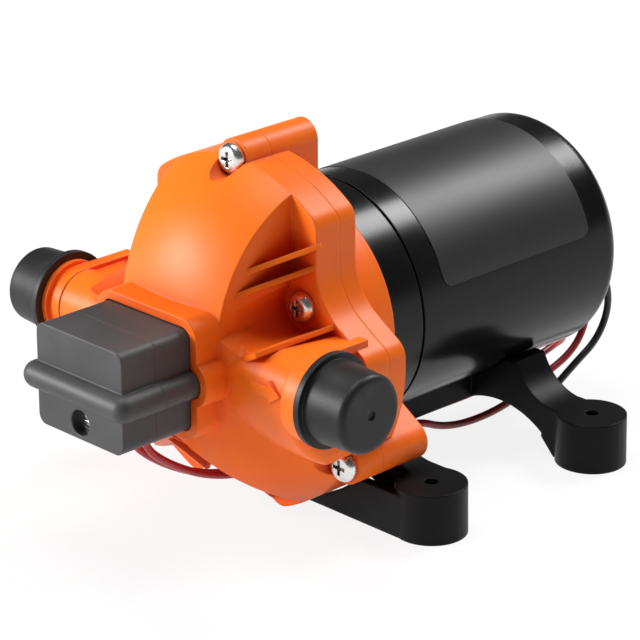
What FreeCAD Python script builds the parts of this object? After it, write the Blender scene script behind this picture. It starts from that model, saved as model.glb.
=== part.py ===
import FreeCAD, Part

import math
import os

import Sketcher

# A 12 V diaphragm water pump: a permanent-magnet motor lies on a one-piece bracket with four
# feet, and a three-chamber wobble-plate pump head with a pressure switch is bolted to its front.
# Frame: X to the outlet side, Y along the motor shaft to the rear, Z up. The origin is the
# centre of the four foot holes, in the plane that the feet stand on.

DRIVING_SIZES = {
    # motor axis over the floor, and the four feet
    "axis_height": 56.2,
    "foot_pitch_across": 121.2,
    "foot_pitch_along": 75.4,
    "foot_radius": 11.4,
    "foot_draft": 0.3,
    "foot_height": 16.5,
    "foot_hole_radius": 2.2,
    # stations along the shaft, counted from the seam between can and front bell
    "seam_y": -19.4,
    "can_length": 93.6,
    "bell_length": 13.7,
    "drive_length": 20.0,
    "rim_length": 7.0,
    "flange_length": 9.7,
    "port_reach": 17.2,
    "dome_reach": 30.1,
    "collar_reach": 37.2,
    "collar_depth": 8.6,
    "base_reach": 13.5,
    "cover_length": 13.4,
    # motor
    "motor_radius": 40.0,
    "can_wall": 1.6,
    "can_corner": 5.5,
    "bump_length": 4.0,
    "seam_gap": 0.8,
    "bell_wall": 4.0,
    "bell_spigot": 5.0,
    "shaft_radius": 4.0,
    "bearing_radius": 11.0,
    "bearing_width": 7.0,
    "seat_wall": 2.5,
    "running_gap": 0.3,
    "slip_gap": 0.1,
    "magnet_thickness": 6.0,
    "magnet_start": 16.4,
    "magnet_length": 56.0,
    "magnet_break": 50.0,
    "armature_radius": 29.6,
    "armature_start": 23.4,
    "armature_length": 42.0,
    "slot_count": 9.0,
    "slot_depth": 12.0,
    "slot_width": 5.6,
    "slot_mouth": 2.2,
    "tooth_tip": 2.2,
    "winding_overhang": 6.6,
    "commutator_radius": 12.0,
    "commutator_length": 10.0,
    "brush_width": 6.4,
    "brush_depth": 7.6,
    "brush_length": 11.0,
    "holder_plate": 2.2,
    "holder_wall": 1.4,
    "spring_length": 9.0,
    "motor_screw_radius": 2.0,
    "motor_screw_circle": 21.2,
    # pump head outline
    "lobe_angle": 122.0,
    "lobe_radius": 57.2,
    "lobe_half_width": 35.5,
    "lobe_corner": 6.0,
    "valley_blend": 20.0,
    "leaf_half_width": 25.0,
    "leaf_front_half_width": 21.0,
    "dome_edge_radius": 57.2,
    "dome_arc_radius": 52.4,
    "screw_circle": 57.0,
    "lug_radius": 6.2,
    "seat_gap": 0.3,
    "inner_screw_circle": 34.6,
    "trough_radius": 8.0,
    "rib_offset": 9.8,
    "rib_pitch": 5.6,
    "rib_thickness": 1.7,
    "rib_top": 21.5,
    "low_rib_offset": 8.9,
    "low_rib_top": 27.4,
    "low_rib_reach": 38.2,
    "neck_radius": 40.0,
    # pressure switch and the collar that holds it
    "switch_half_width": 19.25,
    "switch_half_height": 16.5,
    "switch_drop": 0.4,
    "switch_corner": 3.2,
    "switch_wall": 2.2,
    "collar_wall": 2.8,
    "collar_gap": 0.35,
    "ridge_radius": 4.4,
    "ridge_drop": 1.15,
    "adjuster_drop": 11.5,
    "adjuster_hole_radius": 4.2,
    "adjuster_radius": 2.1,
    "adjuster_sink": 3.0,
    "adjuster_length": 8.0,
    "adjuster_slot": 0.7,
    "pressure_port_radius": 3.0,
    "membrane_radius": 9.6,
    "membrane_thickness": 1.4,
    "membrane_room": 0.6,
    "plunger_radius": 5.0,
    "plunger_pad": 2.0,
    "plunger_length": 13.0,
    "plunger_stem_radius": 1.9,
    "plunger_stroke": 1.2,
    "microswitch_length": 9.0,
    "microswitch_width": 19.0,
    "microswitch_height": 7.0,
    "button_rise": 0.5,
    # ports and their caps
    "port_tube_radius": 10.65,
    "port_bore_radius": 6.5,
    "port_neck_radius": 11.0,
    "port_ring_radius": 14.6,
    "port_ring_start": 52.8,
    "port_neck_end": 58.4,
    "band_start": 52.0,
    "band_end": 56.5,
    "band_step": 1.5,
    "stop_ring_radius": 12.5,
    "skirt_start": 24.0,
    "skirt_edge": 3.0,
    "arrow_start": 37.0,
    "arrow_length": 12.5,
    "arrow_half_width": 3.6,
    "arrow_lift": 1.2,
    "arrow_rise": 0.8,
    "cap_flange_radius": 15.0,
    "cap_flange_thickness": 2.1,
    "cap_end": 76.0,
    "cap_wall": 1.9,
    "cap_root_radius": 13.3,
    "cap_tip_radius": 12.2,
    "cap_corner": 2.2,
    "cap_dimple": 1.6,
    # pump inside
    "plate_radius": 30.8,
    "plate_thickness": 10.0,
    "plate_sink": 3.0,
    "chamber_circle": 17.4,
    "chamber_radius": 9.4,
    "chamber_depth": 5.2,
    "manifold_inner": 17.0,
    "manifold_outer": 27.0,
    "manifold_depth": 2.6,
    "seal_inner": 28.4,
    "seal_depth": 2.4,
    "piston_radius": 8.4,
    "piston_thickness": 3.0,
    "piston_screw_radius": 1.6,
    "diaphragm_thickness": 2.0,
    "wobble_pad_radius": 6.8,
    "wobble_hub_radius": 13.2,
    "wobble_thickness": 7.0,
    "wobble_room": 28.0,
    "wobble_depth": 16.1,
    "cam_bearing_radius": 10.4,
    "cam_bearing_bore": 6.0,
    "cam_bearing_width": 5.0,
    "cam_flange_radius": 8.5,
    "cam_flange_length": 2.6,
    "valve_circle": 21.6,
    "valve_radius": 4.3,
    "valve_thickness": 0.9,
    "valve_stem_radius": 1.3,
    "valve_hole_radius": 0.9,
    "seat_step": 0.4,
    "outlet_valve_radius": 12.0,
    "outlet_hole_circle": 9.7,
    "delivery_radius": 13.5,
    # screws of the head
    "screw_head_radius": 5.0,
    "screw_head_height": 3.2,
    "screw_radius": 2.4,
    "outer_screw_length": 26.0,
    "inner_screw_length": 15.0,
    "cross_width": 1.2,
    "cross_length": 5.0,
    "cross_depth": 1.7,
    # bracket
    "saddle_gap": 0.3,
    "crest_drop": 27.9,
    "ramp_radius": 18.3,
    "ramp_end": 50.6,
    "arch_radius": 32.0,
    "arch_middle": 26.5,
    "floor_start": 33.0,
    "arm_drop": 3.5,
    "arm_flat_start": 30.0,
    "arm_flat_end": 44.0,
    "head_gap": 0.5,
    "front_arm_start": -40.2,
    "front_arm_end": -27.0,
    "rear_arm_start": 30.7,
    "rear_arm_end": 44.7,
    "wall_thickness": 3.2,
    "wall_height": 14.2,
    "spine_half_width": 14.0,
    "spine_floor": 5.8,
    "bracket_screw_radius": 2.0,
    "bracket_head_height": 2.4,
    "bracket_screw_length": 9.5,
    "bracket_screw_start": -6.0,
    "bracket_screw_pitch": 30.0,
    # label and leads
    "label_start": 10.1,
    "label_length": 68.8,
    "label_thickness": 0.25,
    "label_low_angle": 75.0,
    "label_span": 115.0,
    "lead_radius": 1.25,
    "lead_hole_gap": 0.1,
    "lead_run_out": 10.2,
    "tip_radius": 0.7,
    "tip_length": 7.0,
    "grommet_radius": 2.9,
    "grommet_flange": 4.3,
    "grommet_thickness": 1.6,
    "link_lead_side": 15.0,
    "link_lead_height": 38.0,
    "black_lead_side": 24.0,
    "black_lead_height": 44.0,
    "switch_lead_spread": 3.0,
    "switch_lead_y": -106.0,
}

ROUTE_SHARE = 0.45

document = FreeCAD.newDocument("diaphragm_pump")
sheet = document.addObject("Spreadsheet::Sheet", "Sizes")
for row, (alias, number) in enumerate(DRIVING_SIZES.items(), start=1):
    sheet.set(f"A{row}", alias)
    sheet.set(f"B{row}", str(number))
    sheet.setAlias(f"B{row}", alias)
document.recompute()


class Size:
    """A length or a plain number, kept as a formula over the sheet beside its present value."""

    def __init__(self, formula, value):
        self.formula = formula
        self.value = value

    def __add__(self, other):
        other = as_size(other)
        return Size(f"({self.formula} + {other.formula})", self.value + other.value)

    def __sub__(self, other):
        other = as_size(other)
        return Size(f"({self.formula} - {other.formula})", self.value - other.value)

    def __mul__(self, other):
        other = as_size(other)
        return Size(f"({self.formula} * {other.formula})", self.value * other.value)

    def __truediv__(self, other):
        other = as_size(other)
        return Size(f"({self.formula} / {other.formula})", self.value / other.value)

    def __neg__(self):
        return Size(f"(0 - {self.formula})", -self.value)

    __radd__ = __add__
    __rmul__ = __mul__

    def __rsub__(self, other):
        return as_size(other) - self


def as_size(number):
    if isinstance(number, Size):
        return number
    return Size(f"({float(number)!r})", float(number))


def sine(angle):
    angle = as_size(angle)
    return Size(f"sin({angle.formula} * 1 deg)", math.sin(math.radians(angle.value)))


def cosine(angle):
    angle = as_size(angle)
    return Size(f"cos({angle.formula} * 1 deg)", math.cos(math.radians(angle.value)))


def root(size):
    return Size(f"sqrt({size.formula})", math.sqrt(size.value))


class Sizes:
    """Every driving size by its own name."""


d = Sizes()
for alias in DRIVING_SIZES:
    setattr(d, alias, Size(f"Sizes.{alias}", float(sheet.get(alias))))

# Stations along the shaft, from rear to front.
can_rear = d.seam_y + d.can_length
bell_front = d.seam_y - d.bell_length
parting_y = bell_front - d.drive_length
rim_rear = parting_y + d.rim_length
flange_face = parting_y - d.flange_length
port_y = flange_face - d.port_reach
dome_front = flange_face - d.dome_reach
collar_front = flange_face - d.collar_reach
collar_floor = collar_front + d.collar_depth
switch_split = collar_front - d.base_reach
switch_front = switch_split - d.cover_length

# The head's screws stand on these directions, measured from +Z towards +X.
LOBES = (as_size(0.0), d.lobe_angle, -d.lobe_angle)
VALLEYS = (d.lobe_angle / 2.0, as_size(180.0), -d.lobe_angle / 2.0)

# The three pumping chambers are evenly spaced.
CHAMBERS = (0.0, 120.0, 240.0)

NODES = {}


def bind(item, name, size):
    item.setExpression(name, as_size(size).formula)


def place(item, x=0.0, y=0.0, z=0.0):
    for axis, size in zip("xyz", (x, y, z)):
        bind(item, f"Placement.Base.{axis}", size)


def node(name, item, at_axis=True):
    """Name a finished piece; a piece drawn about the motor axis is lifted to its height."""
    item.Label = name
    if at_axis:
        bind(item, "Placement.Base.z", d.axis_height)
    NODES[name] = item
    return item


TURNS = {
    "x": FreeCAD.Rotation(FreeCAD.Vector(0, 1, 0), 90),
    "y": FreeCAD.Rotation(FreeCAD.Vector(1, 0, 0), -90),
    "z": FreeCAD.Rotation(),
}


def cylinder(name, axis, radius, start, end, first=0.0, second=0.0):
    """A cylinder along one axis; first and second are its centre on the other two axes."""
    item = document.addObject("Part::Cylinder", name)
    item.Placement = FreeCAD.Placement(FreeCAD.Vector(), TURNS[axis])
    bind(item, "Radius", radius)
    bind(item, "Height", as_size(end) - start)
    corner = {"x": (start, first, second), "y": (first, start, second), "z": (first, second, start)}
    place(item, *corner[axis])
    return item


def cone(name, axis, start_radius, end_radius, start, end, first=0.0, second=0.0):
    item = document.addObject("Part::Cone", name)
    item.Placement = FreeCAD.Placement(FreeCAD.Vector(), TURNS[axis])
    bind(item, "Radius1", start_radius)
    bind(item, "Radius2", end_radius)
    bind(item, "Height", as_size(end) - start)
    corner = {"x": (start, first, second), "y": (first, start, second), "z": (first, second, start)}
    place(item, *corner[axis])
    return item


def box(name, low, high):
    item = document.addObject("Part::Box", name)
    for prop, near, far in zip(("Length", "Width", "Height"), low, high):
        bind(item, prop, as_size(far) - near)
    place(item, *low)
    return item


def fuse(name, items):
    item = document.addObject("Part::MultiFuse", name)
    item.Shapes = list(items)
    item.Refine = True
    return item


def cut(name, base, tools):
    tool = tools[0] if len(tools) == 1 else fuse(f"{name}_tools", tools)
    item = document.addObject("Part::Cut", name)
    item.Base = base
    item.Tool = tool
    item.Refine = True
    return item


def common(name, first, second):
    item = document.addObject("Part::Common", name)
    item.Base = first
    item.Tool = second
    return item


def rounded(name, base, radius, chosen):
    """Round the edges of a finished shape for which chosen(edge) is true."""
    document.recompute()
    item = document.addObject("Part::Fillet", name)
    item.Base = base
    amount = as_size(radius).value
    edges = enumerate(base.Shape.Edges, start=1)
    item.Edges = [(number, amount, amount) for number, edge in edges if chosen(edge)]
    return item


def straight_along(axis):
    """A test for straight edges that run along one axis."""
    index = "xyz".index(axis)

    def test(edge):
        if edge.Curve.TypeId != "Part::GeomLine":
            return False
        run = edge.Vertexes[-1].Point - edge.Vertexes[0].Point
        return abs(abs(run[index]) - run.Length) < 1e-6

    return test


def new_body(name):
    return document.addObject("PartDesign::Body", name)


def sketch_on(body, role, distance=0.0):
    """A sketch on one of the body's own origin planes, moved along that plane's normal."""
    sketch = body.newObject("Sketcher::SketchObject", f"{body.Name}_{role[:2]}_sketch")
    plane = next(item for item in body.Origin.OriginFeatures if item.Role == role)
    sketch.AttachmentSupport = (plane, [""])
    sketch.MapMode = "FlatFace"
    bind(sketch, "AttachmentOffset.Base.z", distance)
    return sketch


def fix_point(sketch, geometry, vertex, point):
    for kind, size in zip(("DistanceX", "DistanceY"), point):
        size = as_size(size)
        index = sketch.addConstraint(
            Sketcher.Constraint(kind, -1, 1, geometry, vertex, size.value)
        )
        bind(sketch, f"Constraints[{index}]", size)


def outline(sketch, points):
    """A closed outline of straight lines through the points."""
    vectors = [FreeCAD.Vector(as_size(u).value, as_size(v).value, 0) for u, v in points]
    first = sketch.GeometryCount
    count = len(points)
    for index in range(count):
        line = Part.LineSegment(vectors[index], vectors[(index + 1) % count])
        sketch.addGeometry(line, False)
    for index in range(count):
        following = first + (index + 1) % count
        sketch.addConstraint(Sketcher.Constraint("Coincident", first + index, 2, following, 1))
        fix_point(sketch, first + index, 1, points[index])
    return sketch


def pad(body, sketch, length, suffix="pad"):
    item = body.newObject("PartDesign::Pad", f"{body.Name}_{suffix}")
    item.Profile = sketch
    bind(item, "Length", length)
    body.Tip = item
    return item


def revolved(name, points):
    """A piece turned about the shaft from (radius, y) points."""
    body = new_body(name)
    sketch = outline(sketch_on(body, "XY_Plane"), points)
    item = body.newObject("PartDesign::Revolution", f"{name}_turning")
    item.Profile = sketch
    item.ReferenceAxis = (sketch, ["V_Axis"])
    item.Angle = 360
    body.Tip = item
    return body


def ring(name, inner, outer, start, end):
    return revolved(name, ((inner, start), (outer, start), (outer, end), (inner, end)))


def extruded(name, role, distance, length, points):
    """A straight prism on one of the origin planes, along that plane's normal."""
    body = new_body(name)
    pad(body, outline(sketch_on(body, role, distance), points), length)
    return body


def toward(angle, radius, across=0.0):
    """The (x, z) point at a radius along a direction, moved across it to its right."""
    x = sine(angle) * radius + cosine(angle) * across
    z = cosine(angle) * radius - sine(angle) * across
    return x, z


def turned_about_shaft(item, angle):
    """Turn a piece drawn along +Z to a direction measured from +Z towards +X."""
    item.Placement = FreeCAD.Placement(FreeCAD.Vector(), FreeCAD.Rotation(FreeCAD.Vector(0, 1, 0), 0))
    bind(item, "Placement.Rotation.Angle", angle)
    return item


# Pump head outline


def strip_corner(angle, half_width, y):
    """Where the low corner of a strip's box lands once the box is turned about the shaft."""
    x, z = toward(angle, 0.0, -half_width)
    return x, y, z


def strip(name, angle, half_width, start, end, reach):
    """A box that runs outwards from the shaft along one direction."""
    item = box(name, (-half_width, start, 0.0), (half_width, end, reach))
    turned_about_shaft(item, angle)
    place(item, *strip_corner(angle, half_width, start))
    return item


def lobed_prism(name, start, end):
    """The head's outline: three strips with round ends, joined by concave blends."""
    disc = cylinder(f"{name}_disc", "y", d.lobe_radius, start, end)
    reach = d.lobe_radius + d.lobe_corner
    strips = []
    for number, angle in enumerate(LOBES):
        strips.append(strip(f"{name}_strip{number}", angle, d.lobe_half_width, start, end, reach))
    item = common(f"{name}_lobes", fuse(f"{name}_star", strips), disc)

    def distance(edge):
        return math.hypot(edge.Vertexes[0].Point.x, edge.Vertexes[0].Point.z)

    def outer_corner(edge):
        return straight_along("y")(edge) and abs(distance(edge) - d.lobe_radius.value) < 1e-3

    def valley_corner(edge):
        return straight_along("y")(edge) and distance(edge) < d.lobe_radius.value - 1.0

    soft = rounded(f"{name}_corners", item, d.lobe_corner, outer_corner)
    return rounded(f"{name}_valleys", soft, d.valley_blend, valley_corner)


def leaf(number, angle):
    """One leaf of the dome, narrower at the front than at its root."""
    body = new_body(f"leaf{number}")
    sections = []
    reach = d.lobe_radius + d.lobe_corner
    front = dome_front - d.collar_wall
    for y, half_width in ((flange_face, d.leaf_half_width), (front, d.leaf_front_half_width)):
        corners = (
            toward(angle, -d.lug_radius, -half_width),
            toward(angle, -d.lug_radius, half_width),
            toward(angle, reach, half_width),
            toward(angle, reach, -half_width),
        )
        sections.append(outline(sketch_on(body, "XZ_Plane", -y), corners))
    loft = body.newObject("PartDesign::AdditiveLoft", f"leaf{number}_loft")
    loft.Profile = sections[0]
    loft.Sections = [sections[1]]
    loft.Ruled = True
    body.Tip = loft
    return body


def dome_form():
    """The round front of the head, turned about the shaft with one arc from nose to flange."""
    back_rise = d.dome_arc_radius - (flange_face - dome_front)
    nose = d.dome_edge_radius - root(d.dome_arc_radius * d.dome_arc_radius - back_rise * back_rise)
    centre_y = dome_front + d.dome_arc_radius
    back = flange_face + d.rib_thickness
    body = new_body("dome_form")
    sketch = sketch_on(body, "XY_Plane")
    centre = FreeCAD.Vector(nose.value, centre_y.value, 0)
    full = Part.Circle(centre, FreeCAD.Vector(0, 0, 1), d.dome_arc_radius.value)
    edge_angle = math.atan2(flange_face.value - centre_y.value, (d.dome_edge_radius - nose).value)
    arc = sketch.addGeometry(Part.ArcOfCircle(full, -math.pi / 2, edge_angle), False)
    path = (
        (d.dome_edge_radius, flange_face),
        (d.dome_edge_radius, back),
        (0.0, back),
        (0.0, dome_front),
        (nose, dome_front),
    )
    vectors = [FreeCAD.Vector(as_size(u).value, as_size(v).value, 0) for u, v in path]
    lines = []
    for start, end in zip(vectors, vectors[1:]):
        lines.append(sketch.addGeometry(Part.LineSegment(start, end), False))
    loop = [arc, *lines, arc]
    for first, second in zip(loop, loop[1:]):
        sketch.addConstraint(Sketcher.Constraint("Coincident", first, 2, second, 1))
    for line, point in zip(lines, path):
        fix_point(sketch, line, 1, point)
    fix_point(sketch, lines[-1], 2, path[-1])
    radius = sketch.addConstraint(Sketcher.Constraint("Radius", arc, d.dome_arc_radius.value))
    bind(sketch, f"Constraints[{radius}]", d.dome_arc_radius)
    turning = body.newObject("PartDesign::Revolution", "dome_form_turning")
    turning.Profile = sketch
    turning.ReferenceAxis = (sketch, ["V_Axis"])
    turning.Angle = 360
    body.Tip = turning
    return body


def valley_rib(name, angle, half_angle, offset, top_rise, top_reach):
    """One plate along a valley; it slopes from its top on the dome down to the flange edge."""
    blend_centre = (d.lobe_half_width + d.valley_blend) / sine(half_angle)
    edge_gap = root(d.valley_blend * d.valley_blend - offset * offset)
    root_reach = blend_centre - edge_gap - d.rib_thickness / 2.0
    profile = (
        (flange_face + d.rib_thickness, d.lug_radius),
        (flange_face - d.rib_top, d.lug_radius),
        (flange_face - top_rise, top_reach),
        (flange_face, root_reach),
        (flange_face + d.rib_thickness, root_reach),
    )
    start = offset - d.rib_thickness / 2.0
    return turned_about_shaft(extruded(name, "YZ_Plane", start, d.rib_thickness, profile), angle)


def valley_ribs():
    """Two ribs on the upper side of each side valley and one over the port, and two pairs below."""
    top_reach = d.lobe_half_width - d.ridge_radius
    near, far = d.rib_offset, d.rib_offset + d.rib_pitch
    ribs = []
    for number, (angle, side) in enumerate(zip((VALLEYS[0], VALLEYS[2]), (1.0, -1.0))):
        half_angle = d.lobe_angle / 2.0
        for rank, offset in enumerate((near, far)):
            name = f"rib{number}{rank}"
            ribs.append(valley_rib(name, angle, half_angle, -offset * side, d.rib_top, top_reach))
        offset = d.low_rib_offset * side
        name = f"port_rib{number}"
        ribs.append(valley_rib(name, angle, half_angle, offset, d.low_rib_top, d.low_rib_reach))
    for rank, offset in enumerate((-far, -near, near, far)):
        half_angle = 180.0 - d.lobe_angle
        name = f"bottom_rib{rank}"
        ribs.append(valley_rib(name, VALLEYS[1], half_angle, offset, d.rib_top, top_reach))
    return ribs


def neck_length(name, radius, start, end):
    """A length of a port's neck, round in front and square where it joins the flange."""
    near, far = ordered(start, end)
    front = cylinder(f"{name}_front", "x", radius, near, far, port_y)
    high = (far, parting_y - d.flange_length / 2.0, radius)
    return [front, box(f"{name}_back", (near, port_y, -radius), high)]


def port_side(name, side, neck_radius, ring_radius, ring_start):
    """One port: a neck, the ring that its cap meets, the hose tube and a skirt down to the lobe."""
    ring_face = ring_start * side
    neck_end = d.port_neck_end * side
    tube_end = port_tube_end * side
    neck = neck_length(f"{name}_neck", neck_radius, 0.0, ring_face)
    cap_ring = cylinder(f"{name}_ring", "x", ring_radius, *ordered(ring_face, neck_end), port_y)
    tube = cylinder(f"{name}_tube", "x", d.port_tube_radius, *ordered(0.0, tube_end), port_y)
    return [*neck, cap_ring, port_skirt(name, side, neck_radius), tube]


def port_skirt(name, side, neck_radius):
    """The round web under a port, flush with the neck's front and cut to the flange's outline."""
    start, end = ordered(d.skirt_start * side, d.port_ring_start * side)
    reach = d.port_reach + neck_radius
    drum = cylinder(f"{name}_drum", "x", reach, start, end, flange_face)
    outer_end = d.port_ring_start.value * side

    def end_edge(edge):
        return edge.Curve.TypeId == "Part::GeomCircle" and abs(edge.Curve.Center.x - outer_end) < 1e-6

    soft = rounded(f"{name}_drum_soft", drum, d.skirt_edge, end_edge)
    back = flange_face + d.rib_thickness
    front = flange_face - reach
    quarter = box(f"{name}_drum_room", (start, front, -reach), (end, back, 0.0))
    limit = cylinder(f"{name}_drum_limit", "y", d.dome_edge_radius, front, back)
    return common(f"{name}_skirt", common(f"{name}_drum_quarter", soft, quarter), limit)


def ordered(first, second):
    """Two sizes, the smaller one first."""
    first, second = as_size(first), as_size(second)
    return (first, second) if first.value <= second.value else (second, first)


def switch_outline(name, margin, start, end):
    """The pressure switch's section grown by a margin, with the half-round ridge at its sides."""
    half_width = d.switch_half_width + margin
    half_height = d.switch_half_height + margin
    middle = -d.switch_drop
    low = (-half_width, start, middle - half_height)
    high = (half_width, end, middle + half_height)
    block = box(f"{name}_block", low, high)
    soft = rounded(f"{name}_soft", block, d.switch_corner + margin, straight_along("y"))
    bars = []
    for side, x in (("left", -d.switch_half_width), ("right", d.switch_half_width)):
        radius = d.ridge_radius + margin
        bars.append(cylinder(f"{name}_{side}", "y", radius, start, end, x, -d.ridge_drop))
    return fuse(name, [soft, *bars])


def flow_arrow():
    """A raised arrow on the outlet neck that shows which way the water leaves."""
    front = port_y - d.port_neck_radius - d.arrow_rise
    tail, tip = d.arrow_start, d.arrow_start + d.arrow_length
    neck = d.arrow_start + d.arrow_length * 0.6
    middle = d.arrow_lift
    points = (
        (tail, middle - d.arrow_half_width / 2.0),
        (neck, middle - d.arrow_half_width / 2.0),
        (neck, middle - d.arrow_half_width),
        (tip, middle),
        (neck, middle + d.arrow_half_width),
        (neck, middle + d.arrow_half_width / 2.0),
        (tail, middle + d.arrow_half_width / 2.0),
    )
    return extruded("flow_arrow", "XZ_Plane", -port_y, port_y - front, points)


def head_screw_holes(name, start, end):
    """Clearance holes for the six screws that hold the head together."""
    holes = []
    for number, (x, z) in enumerate(head_screw_points()):
        radius = d.screw_radius + d.slip_gap
        holes.append(cylinder(f"{name}_hole{number}", "y", radius, start, end, x, z))
    return holes


def head_screw_points():
    outer = [toward(angle, d.screw_circle) for angle in LOBES]
    return outer + [toward(angle, d.inner_screw_circle) for angle in VALLEYS]


def upper_housing():
    dome = common("dome_cap", fuse("dome_leaves", [leaf(*pair) for pair in enumerate(LOBES)]), dome_form())
    solids = [lobed_prism("flange", flange_face, parting_y), dome, flow_arrow()]
    for number, angle in enumerate(LOBES):
        x, z = toward(angle, d.screw_circle)
        solids.append(cylinder(f"upper_lug{number}", "y", d.lug_radius, flange_face, parting_y, x, z))
    solids += valley_ribs()
    solids += port_side("outlet", 1.0, d.port_neck_radius, d.port_ring_radius, d.port_ring_start)
    waist = d.port_neck_radius - d.band_step
    solids += port_side("inlet", -1.0, waist, d.stop_ring_radius, d.band_end)
    solids += neck_length("inlet_band", d.port_neck_radius, -d.band_start, -d.band_end)
    solids.append(switch_outline("collar", d.collar_gap + d.collar_wall, collar_front, port_y))
    solid = fuse("upper_solid", solids)

    open_end = collar_front - d.collar_wall
    tools = [switch_outline("collar_inside", d.collar_gap, open_end, collar_floor)]
    for number, angle in enumerate(LOBES):
        x, z = toward(angle, d.screw_circle)
        seat_radius = d.screw_head_radius + d.seat_gap
        tools.append(cylinder(f"seat{number}", "y", seat_radius, open_end, flange_face, x, z))
    for number, angle in enumerate(VALLEYS):
        x, z = toward(angle, d.inner_screw_circle)
        tools.append(cylinder(f"trough{number}", "y", d.trough_radius, open_end, flange_face, x, z))
    tools += head_screw_holes("upper", flange_face, parting_y)

    # recess for the valve plate, delivery chamber and the two flow ways
    recess_radius = d.plate_radius + d.running_gap
    tools.append(cylinder("plate_recess", "y", recess_radius, plate_front, parting_y))
    chamber_front = port_y - d.port_bore_radius
    tools.append(cylinder("delivery_room", "y", d.delivery_radius, chamber_front, plate_front))
    tools.append(cylinder("outlet_bore", "x", d.port_bore_radius, 0.0, d.cap_end, port_y))
    tools.append(cylinder("inlet_bore", "x", d.port_bore_radius, -d.cap_end, -d.manifold_inner, port_y))
    duct_radius = (d.manifold_outer - d.manifold_inner) / 2.0 - d.running_gap
    duct_x = -(d.manifold_outer + d.manifold_inner) / 2.0
    tools.append(cylinder("inlet_duct", "y", duct_radius, port_y, plate_front, duct_x))
    # the way from the delivery chamber to the switch's membrane
    seat_back = collar_floor + d.membrane_thickness + d.membrane_room
    seat_radius = d.membrane_radius + d.slip_gap
    tools.append(cylinder("pressure_way", "y", d.pressure_port_radius, collar_floor, port_y))
    tools.append(cylinder("membrane_seat", "y", seat_radius, collar_floor, seat_back))
    return node("upper_housing", cut("upper_cut", solid, tools))


def drive_housing():
    solids = [
        lobed_prism("rim", parting_y, rim_rear),
        cylinder("drive_neck", "y", d.neck_radius, parting_y, bell_front),
    ]
    for number, angle in enumerate(LOBES):
        x, z = toward(angle, d.screw_circle)
        solids.append(cylinder(f"lug{number}", "y", d.lug_radius, parting_y, bell_front, x, z))
        solids.append(strip(f"web{number}", angle, d.lug_radius, parting_y, bell_front, d.screw_circle))
    solid = fuse("drive_solid", solids)

    shoulder = plate_rear + d.diaphragm_thickness
    wall_front = parting_y + d.wobble_depth
    boss_radius = d.bearing_radius + d.seat_wall + d.running_gap
    tools = [
        cylinder("drive_recess", "y", d.plate_radius + d.running_gap, parting_y, shoulder),
        cylinder("wobble_room", "y", d.wobble_room, parting_y, wall_front),
        cylinder("boss_hole", "y", boss_radius, wall_front, bell_front),
    ]
    outer_end = flange_face + d.outer_screw_length + d.running_gap
    inner_end = flange_face + d.inner_screw_length + d.running_gap
    for number, (x, z) in enumerate(head_screw_points()):
        end = outer_end if number < len(LOBES) else inner_end
        radius = d.screw_radius + d.slip_gap
        tools.append(cylinder(f"drive_hole{number}", "y", radius, parting_y, end, x, z))
    tools += motor_screw_holes("drive", wall_front, bell_front)
    return node("drive_housing", cut("drive_cut", solid, tools))


def motor_screw_holes(name, start, end):
    holes = []
    for number, side in enumerate((-1.0, 1.0)):
        radius = d.motor_screw_radius + d.slip_gap
        x = d.motor_screw_circle * side
        holes.append(cylinder(f"{name}_motor_hole{number}", "y", radius, start, end, x))
    return holes


# Valves, diaphragm and wobble drive


def around(name, offsets, radius, start, end):
    """Equal cylinders along the shaft at (angle, circle radius) places."""
    items = []
    for number, (angle, reach) in enumerate(offsets):
        x, z = toward(as_size(angle), reach)
        items.append(cylinder(f"{name}{number}", "y", radius, start, end, x, z))
    return items


def valve_plate():
    floor = plate_rear - d.chamber_depth
    chambers = [(angle, d.chamber_circle) for angle in CHAMBERS]
    valves = [(angle, d.valve_circle) for angle in CHAMBERS]
    tools = around("chamber", chambers, d.chamber_radius, floor, plate_rear)
    manifold_back = plate_front + d.manifold_depth
    tools.append(ring("manifold", d.manifold_inner, d.manifold_outer, plate_front, manifold_back))
    seal_back = plate_front + d.seal_depth
    rebate = d.plate_radius + d.seal_depth
    tools.append(ring("seal_rebate", d.seal_inner, rebate, plate_front, seal_back))
    stem_hole = d.valve_stem_radius + d.slip_gap
    tools += around("stem_hole", valves, stem_hole, plate_front, floor)
    tools.append(cylinder("outlet_stem_hole", "y", stem_hole, plate_front, plate_rear))
    for number, (angle, reach) in enumerate(valves):
        x, z = toward(as_size(angle), reach)
        for rank, turn in enumerate(CHAMBERS):
            step_x, step_z = toward(as_size(turn), d.valve_stem_radius + d.valve_hole_radius + d.seat_step)
            hole = cylinder(
                f"inlet_hole{number}{rank}",
                "y",
                d.valve_hole_radius,
                plate_front,
                floor,
                x + step_x,
                z + step_z,
            )
            tools.append(hole)
    outlets = [(angle + turn, d.outlet_hole_circle) for angle in CHAMBERS for turn in (-14.0, 0.0, 14.0)]
    tools += around("outlet_hole", outlets, d.valve_hole_radius, plate_front, floor)
    plate = cylinder("plate_disc", "y", d.plate_radius, plate_front, plate_rear)
    return node("valve_plate", cut("plate_cut", plate, tools))


def valves():
    floor = plate_rear - d.chamber_depth
    places = [(angle, d.valve_circle) for angle in CHAMBERS]
    discs = around("inlet_disc", places, d.valve_radius, floor, floor + d.valve_thickness)
    stem_front = plate_front + d.manifold_depth - d.valve_thickness
    stems = around("inlet_stem", places, d.valve_stem_radius, stem_front, floor)
    node("inlet_valves", fuse("inlet_valve_set", discs + stems))
    front = plate_front - d.valve_thickness
    disc = cylinder("outlet_disc", "y", d.outlet_valve_radius, front, plate_front)
    stem_end = plate_rear - d.valve_thickness
    stem = cylinder("outlet_stem", "y", d.valve_stem_radius, plate_front, stem_end)
    node("outlet_valve", fuse("outlet_valve_one", [disc, stem]))


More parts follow.
